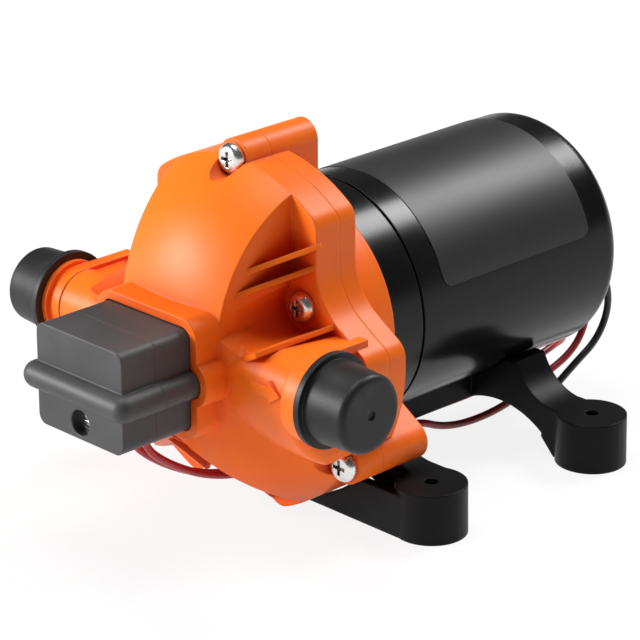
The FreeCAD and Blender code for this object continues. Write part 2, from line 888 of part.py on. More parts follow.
def housing_seal():
    outer = d.plate_radius - d.slip_gap
    inner = d.seal_inner + d.slip_gap
    return node("housing_seal", ring("seal_ring", inner, outer, plate_front, plate_front + d.seal_depth))


def diaphragm_and_pistons():
    places = [(angle, d.chamber_circle) for angle in CHAMBERS]
    hole = d.piston_screw_radius + d.slip_gap
    back = plate_rear + d.diaphragm_thickness
    disc = cylinder("diaphragm_disc", "y", d.plate_radius, plate_rear, back)
    node("diaphragm", cut("diaphragm_cut", disc, around("diaphragm_hole", places, hole, plate_rear, back)))

    front = plate_rear - d.piston_thickness
    head_back = front + d.piston_screw_radius
    head_radius = d.piston_screw_radius * 1.7
    discs = around("piston_disc", places, d.piston_radius, front, plate_rear)
    recesses = around("piston_recess", places, head_radius + d.slip_gap, front, head_back)
    holes = around("piston_hole", places, hole, front, plate_rear)
    node("pistons", cut("piston_cut", fuse("piston_set", discs), recesses + holes))

    end = back + d.wobble_thickness - d.valve_thickness
    heads = around("piston_screw_head", places, head_radius, front, head_back)
    shanks = around("piston_screw_shank", places, d.piston_screw_radius, front, end)
    node("piston_screws", fuse("piston_screw_set", heads + shanks))


def wobble_drive():
    front = plate_rear + d.diaphragm_thickness
    back = front + d.wobble_thickness
    places = [(angle, d.chamber_circle) for angle in CHAMBERS]
    pads = around("wobble_pad", places, d.wobble_pad_radius, front, back)
    hub = cylinder("wobble_hub", "y", d.wobble_hub_radius, front, back)
    bearing_front = back - d.cam_bearing_width
    pocket_radius = d.cam_bearing_radius + d.slip_gap
    pocket = cylinder("bearing_pocket", "y", pocket_radius, bearing_front, back)
    holes = around("wobble_hole", places, d.piston_screw_radius + d.slip_gap, front, back)
    node("wobble_plate", cut("wobble_cut", fuse("wobble_star", [*pads, hub]), [pocket, *holes]))
    race = ring("cam_race", d.cam_bearing_bore, d.cam_bearing_radius, bearing_front, back)
    node("cam_bearing", race)

    # the cam's rim is set off the shaft line, as the counterweight of the wobble plate
    nose_radius = d.cam_bearing_bore - d.running_gap
    rim_front = back + d.running_gap
    rim_back = rim_front + d.cam_flange_length
    nose_front = bearing_front + d.running_gap
    nose = cylinder("cam_nose", "y", nose_radius, nose_front, rim_back)
    offset = d.piston_screw_radius
    rim = cylinder("cam_rim", "y", d.cam_flange_radius, rim_front, rim_back, offset)
    bore = cylinder("cam_bore", "y", d.shaft_radius + d.slip_gap, nose_front, rim_back)
    node("eccentric_cam", cut("cam_cut", fuse("cam_solid", [nose, rim]), [bore]))


# Motor


def ball_bearing(name, start):
    bore = d.shaft_radius + d.running_gap
    return node(name, ring(f"{name}_race", bore, d.bearing_radius, start, start + d.bearing_width))


def front_bell():
    seam_front = d.seam_y - d.seam_gap
    outer = d.motor_radius - d.slip_gap * 2.0
    boss = d.bearing_radius + d.seat_wall
    pocket = d.bearing_radius + d.slip_gap
    spigot = d.motor_radius - d.can_wall - d.slip_gap
    inner = spigot - d.seat_wall
    bell_back = bell_front + d.bell_wall
    profile = (
        (pocket, front_bearing_start),
        (pocket - d.can_wall, front_bearing_start),
        (pocket - d.can_wall, front_bearing_start - d.can_wall),
        (boss, front_bearing_start - d.can_wall),
        (boss, bell_front),
        (outer, bell_front),
        (outer, seam_front),
        (spigot, seam_front),
        (spigot, d.seam_y + d.bell_spigot),
        (inner, d.seam_y + d.bell_spigot),
        (inner, bell_back),
        (boss, bell_back),
        (boss, front_bearing_start + d.bearing_width),
        (pocket, front_bearing_start + d.bearing_width),
    )
    body = revolved("bell_form", profile)
    return node("motor_front_bell", cut("bell_cut", body, motor_screw_holes("bell", bell_front, bell_back)))


def on_circle_at(y):
    """A test for round edges in the plane across the shaft at y."""

    def test(edge):
        return edge.Curve.TypeId == "Part::GeomCircle" and abs(edge.Curve.Center.y - y.value) < 1e-6

    return test


def motor_can():
    inside = d.motor_radius - d.can_wall
    inner_back = can_rear - d.can_wall
    tube = cylinder("can_tube", "y", d.motor_radius, d.seam_y, can_rear)
    shell = rounded("can_shell", tube, d.can_corner, on_circle_at(can_rear))
    room = cylinder("can_room", "y", inside, d.seam_y, inner_back)
    hollow = rounded("can_hollow", room, d.can_corner - d.can_wall, on_circle_at(inner_back))
    seat = d.bearing_radius + d.seat_wall
    bump_back = can_rear + d.bump_length
    bump = cylinder("can_bump", "y", seat, rear_bearing_start, bump_back)
    tools = [cylinder("rear_pocket", "y", d.bearing_radius + d.slip_gap, rear_bearing_start, rear_bearing_end)]
    for number, (x, z) in enumerate(lead_exits()):
        tools.append(cylinder(f"lead_exit{number}", "y", d.grommet_radius, inner_back, can_rear, x, z))
    for number, y in enumerate(bracket_screw_stations()):
        hole = d.bracket_screw_radius + d.slip_gap
        top = -inside + d.can_wall
        tools.append(cylinder(f"can_screw_hole{number}", "z", hole, -d.motor_radius, top, 0.0, y))
    wall = cut("can_wall_part", shell, [hollow])
    return node("motor_can", cut("can_cut", fuse("can_with_bump", [wall, bump]), tools))


def lead_exits():
    """The (x, z) places of the two lead holes in the can's rear, about the motor axis."""
    return (
        (d.link_lead_side, d.link_lead_height - d.axis_height),
        (d.black_lead_side, d.black_lead_height - d.axis_height),
    )


def bracket_screw_stations():
    return d.bracket_screw_start, d.bracket_screw_start + d.bracket_screw_pitch


def grommets():
    neck_front = can_rear - d.can_wall
    flange_back = can_rear + d.grommet_thickness
    solids = []
    holes = []
    for number, (x, z) in enumerate(lead_exits()):
        neck_radius = d.grommet_radius - d.slip_gap
        solids.append(cylinder(f"grommet_neck{number}", "y", neck_radius, neck_front, can_rear, x, z))
        flange = cylinder(f"grommet_flange{number}", "y", d.grommet_flange, can_rear, flange_back, x, z)
        solids.append(flange)
        hole = d.lead_radius + d.lead_hole_gap
        holes.append(cylinder(f"grommet_hole{number}", "y", hole, neck_front, flange_back, x, z))
    return node("lead_grommets", cut("grommet_cut", fuse("grommet_solid", solids), holes))


def magnets():
    outer = d.motor_radius - d.can_wall - d.running_gap
    start = d.seam_y + d.magnet_start
    end = start + d.magnet_length
    full = ring("magnet_ring", outer - d.magnet_thickness, outer, start, end)
    half_break = outer * sine(d.magnet_break / 2.0) / cosine(d.magnet_break / 2.0)
    wedge = (
        (0.0, 0.0),
        (half_break, outer),
        (-half_break, outer),
        (0.0, 0.0),
        (-half_break, -outer),
        (half_break, -outer),
    )
    upper = extruded("upper_break", "XZ_Plane", -end, end - start, wedge[:3])
    lower = extruded("lower_break", "XZ_Plane", -end, end - start, wedge[3:])
    return node("motor_magnets", cut("magnet_cut", full, [upper, lower]))


def armature():
    start = d.seam_y + d.armature_start
    end = start + d.armature_length
    slot_outer = d.armature_radius - d.tooth_tip
    slot_inner = slot_outer - d.slot_depth
    count = int(d.slot_count.value)
    tools = [cylinder("core_bore", "y", d.shaft_radius + d.slip_gap, start, end)]
    coils = []
    coil_start = start - d.winding_overhang
    coil_end = end + d.winding_overhang
    half_slot = d.slot_width / 2.0
    half_coil = half_slot - d.running_gap
    for number in range(count):
        angle = as_size(360.0) / d.slot_count * float(number)
        slot = radial_box(f"slot{number}", angle, half_slot, slot_inner, slot_outer, start, end)
        mouth = radial_box(
            f"mouth{number}", angle, d.slot_mouth / 2.0, slot_inner, d.armature_radius, start, end
        )
        tools += [slot, mouth]
        coil_inner = slot_inner + d.running_gap
        coil_outer = slot_outer - d.running_gap
        coil = radial_box(f"coil{number}", angle, half_coil, coil_inner, coil_outer, coil_start, coil_end)
        coils.append(coil)
    disc = cylinder("core_disc", "y", d.armature_radius, start, end)
    node("armature_core", cut("core_cut", disc, tools))
    ring_inner = slot_inner - half_slot
    ring_outer = slot_outer - d.running_gap
    front_ring = ring("front_turns", ring_inner, ring_outer, coil_start, start - d.running_gap)
    rear_ring = ring("rear_turns", ring_inner, ring_outer, end + d.running_gap, coil_end)
    node("armature_winding", fuse("winding_solid", [*coils, front_ring, rear_ring]))
    commutator_start = coil_end + d.can_wall
    commutator_end = commutator_start + d.commutator_length
    bore = d.shaft_radius + d.slip_gap
    node("commutator", ring("commutator_ring", bore, d.commutator_radius, commutator_start, commutator_end))
    return commutator_start


def radial_box(name, angle, half_width, inner, outer, start, end):
    """A box between two radii, along one direction from the shaft."""
    item = box(name, (-half_width, start, inner), (half_width, end, outer))
    turned_about_shaft(item, angle)
    x, z = toward(angle, inner, -half_width)
    place(item, x, start, z)
    return item


def shaft():
    front = plate_rear + d.diaphragm_thickness + d.wobble_thickness - d.cam_bearing_width + d.running_gap
    return node("motor_shaft", cylinder("shaft_rod", "y", d.shaft_radius, front, rear_bearing_end))


def brush_gear(commutator_start):
    """Two carbon brushes on the commutator, in holders on one insulating plate."""
    plate_start = commutator_start + d.commutator_length + d.running_gap
    plate_end = plate_start + d.holder_plate
    room = d.motor_radius - d.can_wall - d.running_gap
    plate = ring("holder_plate", d.commutator_radius + d.slip_gap, room, plate_start, plate_end)
    middle = commutator_start + d.commutator_length / 2.0
    half_depth = d.brush_depth / 2.0
    half_width = d.brush_width / 2.0
    tip = d.commutator_radius + d.running_gap
    tail = tip + d.brush_length
    stop = tail + d.spring_length
    boxes, rooms, brushes, springs, cores = [], [], [], [], []
    for number, side in enumerate((-1.0, 1.0)):
        wall = d.holder_wall
        near, far = ordered((tip + wall) * side, (stop + wall) * side)
        low = (near, middle - half_depth - wall, -half_width - wall)
        boxes.append(box(f"holder{number}", low, (far, plate_start, half_width + wall)))
        gap = d.slip_gap
        near, far = ordered(tip * side, stop * side)
        low = (near, middle - half_depth - gap, -half_width - gap)
        rooms.append(box(f"room{number}", low, (far, middle + half_depth + gap, half_width + gap)))
        near, far = ordered(tip * side, tail * side)
        low = (near, middle - half_depth, -half_width)
        brushes.append(box(f"brush{number}", low, (far, middle + half_depth, half_width)))
        near, far = ordered(tail * side, stop * side)
        outer = half_width - gap * 4.0
        springs.append(cylinder(f"brush_spring{number}", "x", outer, near, far, middle))
        cores.append(cylinder(f"brush_core{number}", "x", outer - d.slip_gap * 8.0, near, far, middle))
    node("brush_holder", cut("holder_cut", fuse("holder_solid", [plate, *boxes]), rooms))
    node("brushes", fuse("brush_pair", brushes))
    node("brush_springs", cut("brush_spring_pair", fuse("spring_solid", springs), cores))


def rating_label():
    """The bare label, wrapped round the upper side of the can."""
    inner = d.motor_radius + d.slip_gap / 2.0
    start = d.seam_y + d.label_start
    end = start + d.label_length
    outer = inner + d.label_thickness
    body = new_body("label_sheet")
    sketch = outline(sketch_on(body, "XY_Plane"), ((inner, start), (outer, start), (outer, end), (inner, end)))
    turning = body.newObject("PartDesign::Revolution", "label_turning")
    turning.Profile = sketch
    turning.ReferenceAxis = (sketch, ["V_Axis"])
    bind(turning, "Angle", d.label_span)
    body.Tip = turning
    turned_about_shaft(body, d.label_low_angle - d.label_span - 90.0)
    return node("rating_label", body)


# Screws


def pan_screw(name, seat, length, x, z, head_radius, head_height, shank_radius, cross):
    """A pan-head screw along the shaft direction, its head in front of the seat."""
    front = seat - head_height
    head = cylinder(f"{name}_head", "y", head_radius, front, seat, x, z)
    soft = rounded(f"{name}_soft", head, head_height * 0.7, on_circle_at(front))
    shank = cylinder(f"{name}_shank", "y", shank_radius, seat, seat + length, x, z)
    half_long, half_wide, depth = cross
    bottom = front + depth
    flat = box(f"{name}_slot", (x - half_long, front, z - half_wide), (x + half_long, bottom, z + half_wide))
    tall = box(f"{name}_cross", (x - half_wide, front, z - half_long), (x + half_wide, bottom, z + half_long))
    return cut(f"{name}_screw", fuse(f"{name}_solid", [soft, shank]), [flat, tall])


def screws():
    cross = (d.cross_length / 2.0, d.cross_width / 2.0, d.cross_depth)
    items = []
    for number, (x, z) in enumerate(head_screw_points()):
        length = d.outer_screw_length if number < len(LOBES) else d.inner_screw_length
        items.append(
            pan_screw(
                f"head{number}", flange_face, length, x, z,
                d.screw_head_radius, d.screw_head_height, d.screw_radius, cross,
            )
        )
    node("housing_screws", fuse("housing_screw_set", items))
    seat = parting_y + d.wobble_depth
    length = bell_front + d.bell_wall - seat
    scale = d.motor_screw_radius / d.screw_radius
    small_cross = tuple(size * scale for size in cross)
    items = []
    for number, side in enumerate((-1.0, 1.0)):
        items.append(
            pan_screw(
                f"motor{number}", seat, length, d.motor_screw_circle * side, as_size(0.0),
                d.screw_head_radius * scale, d.screw_head_height * scale, d.motor_screw_radius, small_cross,
            )
        )
    node("motor_screws", fuse("motor_screw_set", items))


# Pressure switch


def switch_base():
    shell = switch_outline("base_form", as_size(0.0), switch_split, collar_floor)
    half_width = d.switch_half_width - d.switch_wall
    half_height = d.switch_half_height - d.switch_wall
    back = collar_floor - d.switch_wall
    middle = -d.switch_drop
    low = (-half_width, switch_split, middle - half_height)
    room = box("base_room", low, (half_width, back, middle + half_height))
    hollow = cut("base_hollow", shell, [room])
    half_tall = d.microswitch_height / 2.0
    outer = d.microswitch_width / 2.0
    inner = outer - d.seat_wall
    bridge_back = bridge_front + d.switch_wall
    posts = [
        box("left_post", (-outer, microswitch_rear, -half_tall), (-inner, back, half_tall)),
        box("right_post", (inner, microswitch_rear, -half_tall), (outer, back, half_tall)),
        box("spring_bridge", (-inner, bridge_front, -half_tall), (inner, bridge_back, half_tall)),
    ]
    pad_hole = d.plunger_radius + d.running_gap
    stem_hole = d.plunger_stem_radius + d.running_gap
    tools = [
        cylinder("pad_hole", "y", pad_hole, back, collar_floor),
        cylinder("bridge_hole", "y", stem_hole, bridge_front, bridge_back),
    ]
    bottom = middle - d.switch_half_height
    for number, side in enumerate((-1.0, 1.0)):
        hole = d.lead_radius + d.lead_hole_gap
        x = d.switch_lead_spread * side
        top = bottom + d.switch_wall
        tools.append(cylinder(f"base_lead_hole{number}", "z", hole, bottom, top, x, d.switch_lead_y))
    return node("switch_base", cut("base_cut", fuse("base_solid", [hollow, *posts]), tools))


def switch_cover():
    sides = switch_outline("cover_form", as_size(0.0), switch_front, switch_split)
    bar = cylinder(
        "front_ridge",
        "x",
        d.ridge_radius,
        -d.switch_half_width,
        d.switch_half_width,
        switch_front,
        -d.ridge_drop,
    )
    knuckles = []
    for number, side in enumerate((-1.0, 1.0)):
        knuckle = document.addObject("Part::Sphere", f"knuckle{number}")
        bind(knuckle, "Radius", d.ridge_radius)
        place(knuckle, d.switch_half_width * side, switch_front, -d.ridge_drop)
        knuckles.append(knuckle)
    half_width = d.switch_half_width - d.switch_wall
    half_height = d.switch_half_height - d.switch_wall
    middle = -d.switch_drop
    inner_front = switch_front + d.switch_wall
    low = (-half_width, inner_front, middle - half_height)
    room = box("cover_room", low, (half_width, switch_split, middle + half_height))
    hollow = cut("cover_hollow", fuse("cover_outside", [sides, bar, *knuckles]), [room])
    boss_radius = d.switch_half_height - d.adjuster_drop + d.switch_drop - d.slip_gap
    boss_end = adjuster_front + d.adjuster_length
    z = -d.adjuster_drop
    boss = cylinder("adjuster_boss", "y", boss_radius, inner_front, boss_end, 0.0, z)
    mouth = cylinder("adjuster_mouth", "y", d.adjuster_hole_radius, switch_front, adjuster_front, 0.0, z)
    bore_radius = d.adjuster_radius + d.running_gap
    bore = cylinder("adjuster_bore", "y", bore_radius, adjuster_front, boss_end, 0.0, z)
    return node("switch_cover", cut("cover_cut", fuse("cover_solid", [hollow, boss]), [mouth, bore]))


def switch_insides():
    z = -d.adjuster_drop
    end = adjuster_front + d.adjuster_length
    rod = cylinder("adjuster_rod", "y", d.adjuster_radius, adjuster_front, end, 0.0, z)
    half_slot = d.adjuster_slot / 2.0
    reach = d.adjuster_radius
    low = (-reach, adjuster_front, z - half_slot)
    slot = box("adjuster_slot_cut", low, (reach, adjuster_front + d.adjuster_slot, z + half_slot))
    node("adjust_screw", cut("adjuster_cut", rod, [slot]))

    pad_front = collar_floor - d.plunger_pad
    pad = cylinder("plunger_pad_disc", "y", d.plunger_radius, pad_front, collar_floor)
    stem = cylinder("plunger_stem", "y", d.plunger_stem_radius, plunger_end, pad_front)
    node("switch_plunger", fuse("plunger_solid", [pad, stem]))

    spring_inner = d.plunger_stem_radius + d.running_gap
    spring_outer = d.plunger_radius - d.switch_drop
    bridge_back = bridge_front + d.switch_wall
    node("switch_spring", ring("spring_sleeve", spring_inner, spring_outer, bridge_back, pad_front))

    back = collar_floor + d.membrane_thickness
    node("switch_diaphragm", cylinder("membrane", "y", d.membrane_radius, collar_floor, back))

    half_tall = d.microswitch_height / 2.0
    half_wide = d.microswitch_width / 2.0
    front = microswitch_rear - d.microswitch_length
    block = box("microswitch_block", (-half_wide, front, -half_tall), (half_wide, microswitch_rear, half_tall))
    button_back = microswitch_rear + d.button_rise
    button = cylinder("microswitch_button", "y", d.valve_stem_radius, microswitch_rear, button_back)
    node("microswitch", fuse("microswitch_solid", [block, button]))


# Port caps


def port_cap(name, side):
    """A rubber cap pushed over one port: a tapered cup with a flange at its mouth."""
    start = d.port_neck_end
    flange_end = start + d.cap_flange_thickness
    low, high = ordered(start * side, flange_end * side)
    flange = cylinder(f"{name}_flange", "x", d.cap_flange_radius, low, high, port_y)
    low, high = ordered(start * side, d.cap_end * side)
    radii = (d.cap_root_radius, d.cap_tip_radius) if side > 0 else (d.cap_tip_radius, d.cap_root_radius)
    cup = cone(f"{name}_cup", "x", *radii, low, high, port_y)
    end = d.cap_end.value * side

    def end_edge(edge):
        return edge.Curve.TypeId == "Part::GeomCircle" and abs(edge.Curve.Center.x - end) < 1e-6

    soft = rounded(f"{name}_soft", cup, d.cap_corner, end_edge)
    room_end = (port_tube_end + d.running_gap) * side
    room_radius = d.port_tube_radius + d.running_gap
    room = cylinder(f"{name}_room", "x", room_radius, *ordered(start * side, room_end), port_y)
    dimple_depth = d.cap_wall / 3.0
    low, high = ordered((d.cap_end - dimple_depth) * side, d.cap_end * side)
    dimple = cylinder(f"{name}_dimple", "x", d.cap_dimple, low, high, port_y)
    solid = fuse(f"{name}_solid", [soft, flange])
    return node(name, cut(f"{name}_cut", solid, [room, dimple]))


# Bracket, drawn from the floor up


def mirrored(points):
    """A closed outline from its right half, listed from the bottom middle to the top middle."""
    return tuple(points) + tuple((-as_size(x), z) for x, z in reversed(points))


def bracket_arm(name, start, end):
    """A cross-piece that slopes from the saddle down to a foot on each side."""
    half_pitch = d.foot_pitch_across / 2.0
    right = (
        (d.spine_half_width, spine_bottom),
        (d.spine_half_width, arm_bottom),
        (d.arm_flat_end, arm_bottom),
        (d.ramp_end, 0.0),
        (half_pitch, 0.0),
        (half_pitch, d.foot_height),
        (d.ramp_end, d.foot_height),
        (d.ramp_end, crest_height),
    )
    return extruded(name, "XZ_Plane", -end, end - start, mirrored(right))


def arch(name, side):
    """The space under the arms between the spine and a foot, round on top."""
    half = d.spine_half_width
    across = d.arch_middle - half
    centre_z = spine_bottom - root(d.arch_radius * d.arch_radius - across * across)
    start, end = d.front_arm_start, d.rear_arm_end
    middle = d.arch_middle * side
    drum = cylinder(f"{name}_drum", "y", d.arch_radius, start, end, middle, centre_z)
    drop = arm_bottom - centre_z
    reach = d.arch_middle + root(d.arch_radius * d.arch_radius - drop * drop)
    near, far = ordered(half / 2.0 * side, reach * side)
    room = box(f"{name}_room", (near, start, 0.0), (far, end, d.foot_height))
    return common(name, drum, room)


def base_bracket():
    half_across = d.foot_pitch_across / 2.0
    half_along = d.foot_pitch_along / 2.0
    base_radius = d.foot_radius + d.foot_draft
    corners = [(side * half_across, end * half_along) for side in (-1.0, 1.0) for end in (-1.0, 1.0)]
    feet, holes = [], []
    for number, (x, y) in enumerate(corners):
        feet.append(cone(f"foot{number}", "z", base_radius, d.foot_radius, 0.0, d.foot_height, x, y))
        holes.append(cylinder(f"foot_hole{number}", "z", d.foot_hole_radius, 0.0, d.foot_height, x, y))
    arms = [
        bracket_arm("front_arm", d.front_arm_start, d.front_arm_end),
        bracket_arm("rear_arm", d.rear_arm_start, d.rear_arm_end),
    ]
    low = (-d.spine_half_width, d.front_arm_start, spine_bottom)
    spine = box("spine", low, (d.spine_half_width, d.rear_arm_end, crest_height))
    wall_front = -half_along - d.foot_radius
    wall_back = wall_front + d.wall_thickness
    low = (-half_across, wall_front, 0.0)
    front_wall = box("front_wall", low, (half_across, wall_back, d.wall_height))
    # the floor behind the front wall stops short of the middle, where the leads pass
    front_floors, rear_walls = [], []
    for number, side in enumerate((-1.0, 1.0)):
        near, far = ordered(d.floor_start * side, half_across * side)
        low = (near, wall_back, arm_bottom / 2.0)
        high = (far, d.front_arm_start + d.wall_thickness, arm_bottom)
        front_floors.append(box(f"front_floor{number}", low, high))
        near, far = ordered(d.arm_flat_start * side, half_across * side)
        low = (near, d.rear_arm_end, arm_bottom)
        rear_walls.append(box(f"rear_wall{number}", low, (far, -wall_front, d.wall_height)))
    solid = fuse("bracket_solid", [*feet, *arms, spine, front_wall, *front_floors, *rear_walls])

    saddle = d.motor_radius + d.saddle_gap
    ramp_z = d.foot_height + d.ramp_radius
    tools = [cylinder("saddle", "y", saddle, wall_front, -wall_front, 0.0, d.axis_height)]
    for number, side in enumerate((-1.0, 1.0)):
        x = d.ramp_end * side
        tools.append(cylinder(f"ramp{number}", "y", d.ramp_radius, wall_front, -wall_front, x, ramp_z))
        tools.append(arch(f"arch{number}", side))
    # room for the pump head, which hangs in front of the front arm
    head_gap = d.lobe_radius + d.head_gap
    head_back = rim_rear + d.head_gap
    head = cylinder("head_room", "y", head_gap, wall_front, head_back, 0.0, d.axis_height)
    tools.append(head)
    web_back = bell_front + d.head_gap
    for number, angle in enumerate(LOBES[1:]):
        half_width = d.lug_radius + d.head_gap
        web = strip(f"web_room{number}", angle, half_width, wall_front, web_back, d.screw_circle)
        x, y, z = strip_corner(angle, half_width, wall_front)
        place(web, x, y, z + d.axis_height)
        x, z = toward(angle, d.screw_circle)
        lug = cylinder(f"lug_room{number}", "y", half_width, wall_front, web_back, x, z + d.axis_height)
        tools += [web, lug]
    for number, y in enumerate(bracket_screw_stations()):
        hole = d.bracket_screw_radius + d.slip_gap
        recess = bracket_screw_head_radius + d.running_gap
        recess_top = spine_bottom + d.bracket_head_height
        top = d.axis_height - d.motor_radius
        tools.append(cylinder(f"spine_hole{number}", "z", hole, spine_bottom, top, 0.0, y))
        tools.append(cylinder(f"spine_recess{number}", "z", recess, spine_bottom, recess_top, 0.0, y))
    return node("base_bracket", cut("bracket_cut", solid, tools + holes), at_axis=False)


def bracket_screws():
    items = []
    for number, y in enumerate(bracket_screw_stations()):
        seat = spine_bottom + d.bracket_head_height
        top = seat + d.bracket_screw_length
        head = cylinder(f"bracket_head{number}", "z", bracket_screw_head_radius, spine_bottom, seat, 0.0, y)
        shank = cylinder(f"bracket_shank{number}", "z", d.bracket_screw_radius, seat, top, 0.0, y)
        half_slot = d.cross_width / 2.0
        reach = bracket_screw_head_radius * 0.7
        low = (-reach, y - half_slot, spine_bottom)
        slot = box(f"bracket_slot{number}", low, (reach, y + half_slot, spine_bottom + d.cross_width))
        items.append(cut(f"bracket_screw{number}", fuse(f"bracket_screw_solid{number}", [head, shank]), [slot]))
    return node("bracket_screws", fuse("bracket_screw_set", items), at_axis=False)


# Leads


def lead(name, corners):
    """A round lead along straight runs joined by tangent arcs, drawn from the sheet's sizes."""
    points = [FreeCAD.Vector(*(as_size(value).value for value in corner)) for corner in corners]
    start = points[0]
    edges = []
    radii = []
    for before, corner, after in zip(points, points[1:], points[2:]):
        inward = (before - corner).normalize()
        outward = (after - corner).normalize()
        setback = ROUTE_SHARE * min((before - corner).Length, (after - corner).Length)
        half_turn = (math.pi - inward.getAngle(outward)) / 2.0
        radius = setback / math.tan(half_turn)
        radii.append(round(radius, 1))
        first = corner + inward * setback
        last = corner + outward * setback
        centre = corner + (inward + outward).normalize() * math.hypot(radius, setback)
        middle = centre + (corner - centre).normalize() * radius
        edges.append(Part.LineSegment(start, first).toShape())
        edges.append(Part.Arc(first, middle, last).toShape())
        start = last
    edges.append(Part.LineSegment(start, points[-1]).toShape())
    route = Part.Wire(edges)
    section = Part.Wire(Part.Circle(points[0], points[1] - points[0], d.lead_radius.value).toShape())
    solid = route.makePipeShell([section], True, False)
    ratio = solid.Volume / (math.pi * d.lead_radius.value**2 * route.Length)
    print(name, "radii", radii, "length", round(route.Length, 1), "volume ratio", round(ratio, 4))
    item = document.addObject("Part::Feature", f"{name}_route")
    item.Shape = solid
    item.Placement = FreeCAD.Placement()
    return node(name, item, at_axis=False)


def bare_tip(name, before, end):
    """The stripped end of a lead, on the line of its last run."""
    start = FreeCAD.Vector(*end)
    along = start - FreeCAD.Vector(*before)
    item = document.addObject("Part::Feature", name)
    item.Shape = Part.makeCylinder(d.tip_radius.value, d.tip_length.value, start, along)
    item.Placement = FreeCAD.Placement()
    return item


def leads():
    inside_can = can_rear - d.can_wall * 2.0
    outside_can = can_rear + d.lead_run_out
    inside_switch = d.axis_height - d.switch_drop - d.switch_half_height + d.switch_wall * 2.0
    spread = d.switch_lead_spread
    hole_y = d.switch_lead_y
    lead(
        "link_lead",
        (
            (spread, hole_y, inside_switch),
            (spread, hole_y, 32.0),
            (1.5, -93.5, 21.0),
            (0.8, -76.0, 11.0),
            (0.8, -58.0, 6.5),
            (4.0, -42.0, 6.0),
            (15.0, -23.0, 8.6),
            (17.8, -2.0, 13.0),
            (17.0, 17.0, 3.8),
            (16.5, 42.0, 2.6),
            (16.0, 63.0, 8.0),
            (15.6, 81.0, 13.0),
            (d.link_lead_side, 88.5, 24.5),
            (d.link_lead_side, outside_can, d.link_lead_height),
            (d.link_lead_side, inside_can, d.link_lead_height),
        ),
    )
    red_end = ((-42.5, 85.0, 1.45), (-44.0, 72.0, 1.35))
    lead(
        "supply_lead_red",
        (
            (-spread, hole_y, inside_switch),
            (-spread, hole_y, 31.5),
            (-4.2, -94.0, 20.5),
            (-4.0, -76.5, 10.5),
            (-3.4, -58.5, 5.8),
            (-0.5, -42.0, 5.0),
            (6.0, -24.0, 7.4),
            (8.4, -4.0, 8.5),
            (8.2, 18.0, 8.2),
            (8.8, 38.0, 8.0),
            (10.5, 57.0, 10.4),
            (10.0, 75.0, 14.2),
            (3.0, 91.0, 11.5),
            (-12.0, 100.0, 5.2),
            (-30.0, 98.0, 1.9),
            *red_end,
        ),
    )
    black_end = ((-20.0, 59.0, 1.4), (-33.0, 70.0, 1.35))
    lead(
        "supply_lead_black",
        (
            (d.black_lead_side, inside_can, d.black_lead_height),
            (d.black_lead_side, outside_can, d.black_lead_height),
            (d.black_lead_side, 88.8, 30.8),
            (23.8, 83.5, 19.0),
            (23.5, 71.0, 12.5),
            (23.2, 60.0, 5.8),
            (19.0, 53.5, 2.1),
            (7.0, 53.0, 1.5),
            (-7.0, 54.5, 1.4),
            *black_end,
        ),
    )
    tips = [bare_tip("red_tip", *red_end), bare_tip("black_tip", *black_end)]
    node("lead_tips", fuse("tip_pair", tips), at_axis=False)


# Stations that several pieces share
plate_front = parting_y + d.plate_sink - d.plate_thickness
plate_rear = parting_y + d.plate_sink
port_tube_end = d.cap_end - d.cap_wall - d.running_gap
front_bearing_start = bell_front - d.bearing_width / 3.0
rear_bearing_end = can_rear + d.bump_length - d.can_wall
rear_bearing_start = rear_bearing_end - d.bearing_width
adjuster_front = switch_front + d.adjuster_sink
plunger_end = collar_floor - d.plunger_length
microswitch_rear = plunger_end - d.plunger_stroke - d.button_rise - d.slip_gap
bridge_front = plunger_end + d.switch_wall
bracket_screw_head_radius = d.bracket_screw_radius * 1.8
spine_bottom = d.axis_height - d.motor_radius - d.spine_floor
arm_bottom = spine_bottom - d.arm_drop
crest_height = d.axis_height - d.crest_drop

upper_housing()
drive_housing()
valve_plate()
valves()
housing_seal()
diaphragm_and_pistons()
wobble_drive()
front_bell()
motor_can()
grommets()
magnets()
brush_gear(armature())
shaft()
ball_bearing("front_bearing", front_bearing_start)
ball_bearing("rear_bearing", rear_bearing_start)
rating_label()
screws()
switch_base()
switch_cover()
switch_insides()
port_cap("outlet_cap", 1.0)
port_cap("inlet_cap", -1.0)
base_bracket()
bracket_screws()
leads()

document.recompute()
failed = [item.Label for item in document.Objects if {"Invalid", "Error"} & set(item.State)]
if failed:
    raise RuntimeError(f"objects that failed: {failed}")
os.makedirs("parts", exist_ok=True)
for name, item in NODES.items():
    shape = item.Shape
    if shape.isNull() or not shape.isValid():
        raise RuntimeError(f"{name} has no valid shape")
    shape.exportStep(f"parts/{name}.step")
    print(name, len(shape.Solids), round(shape.Volume, 1))
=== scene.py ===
"""Looks of a 12 V diaphragm water pump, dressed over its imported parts."""

import logging
import math
from dataclasses import dataclass, field
from enum import Enum
from typing import Any, Mapping, Optional, Union

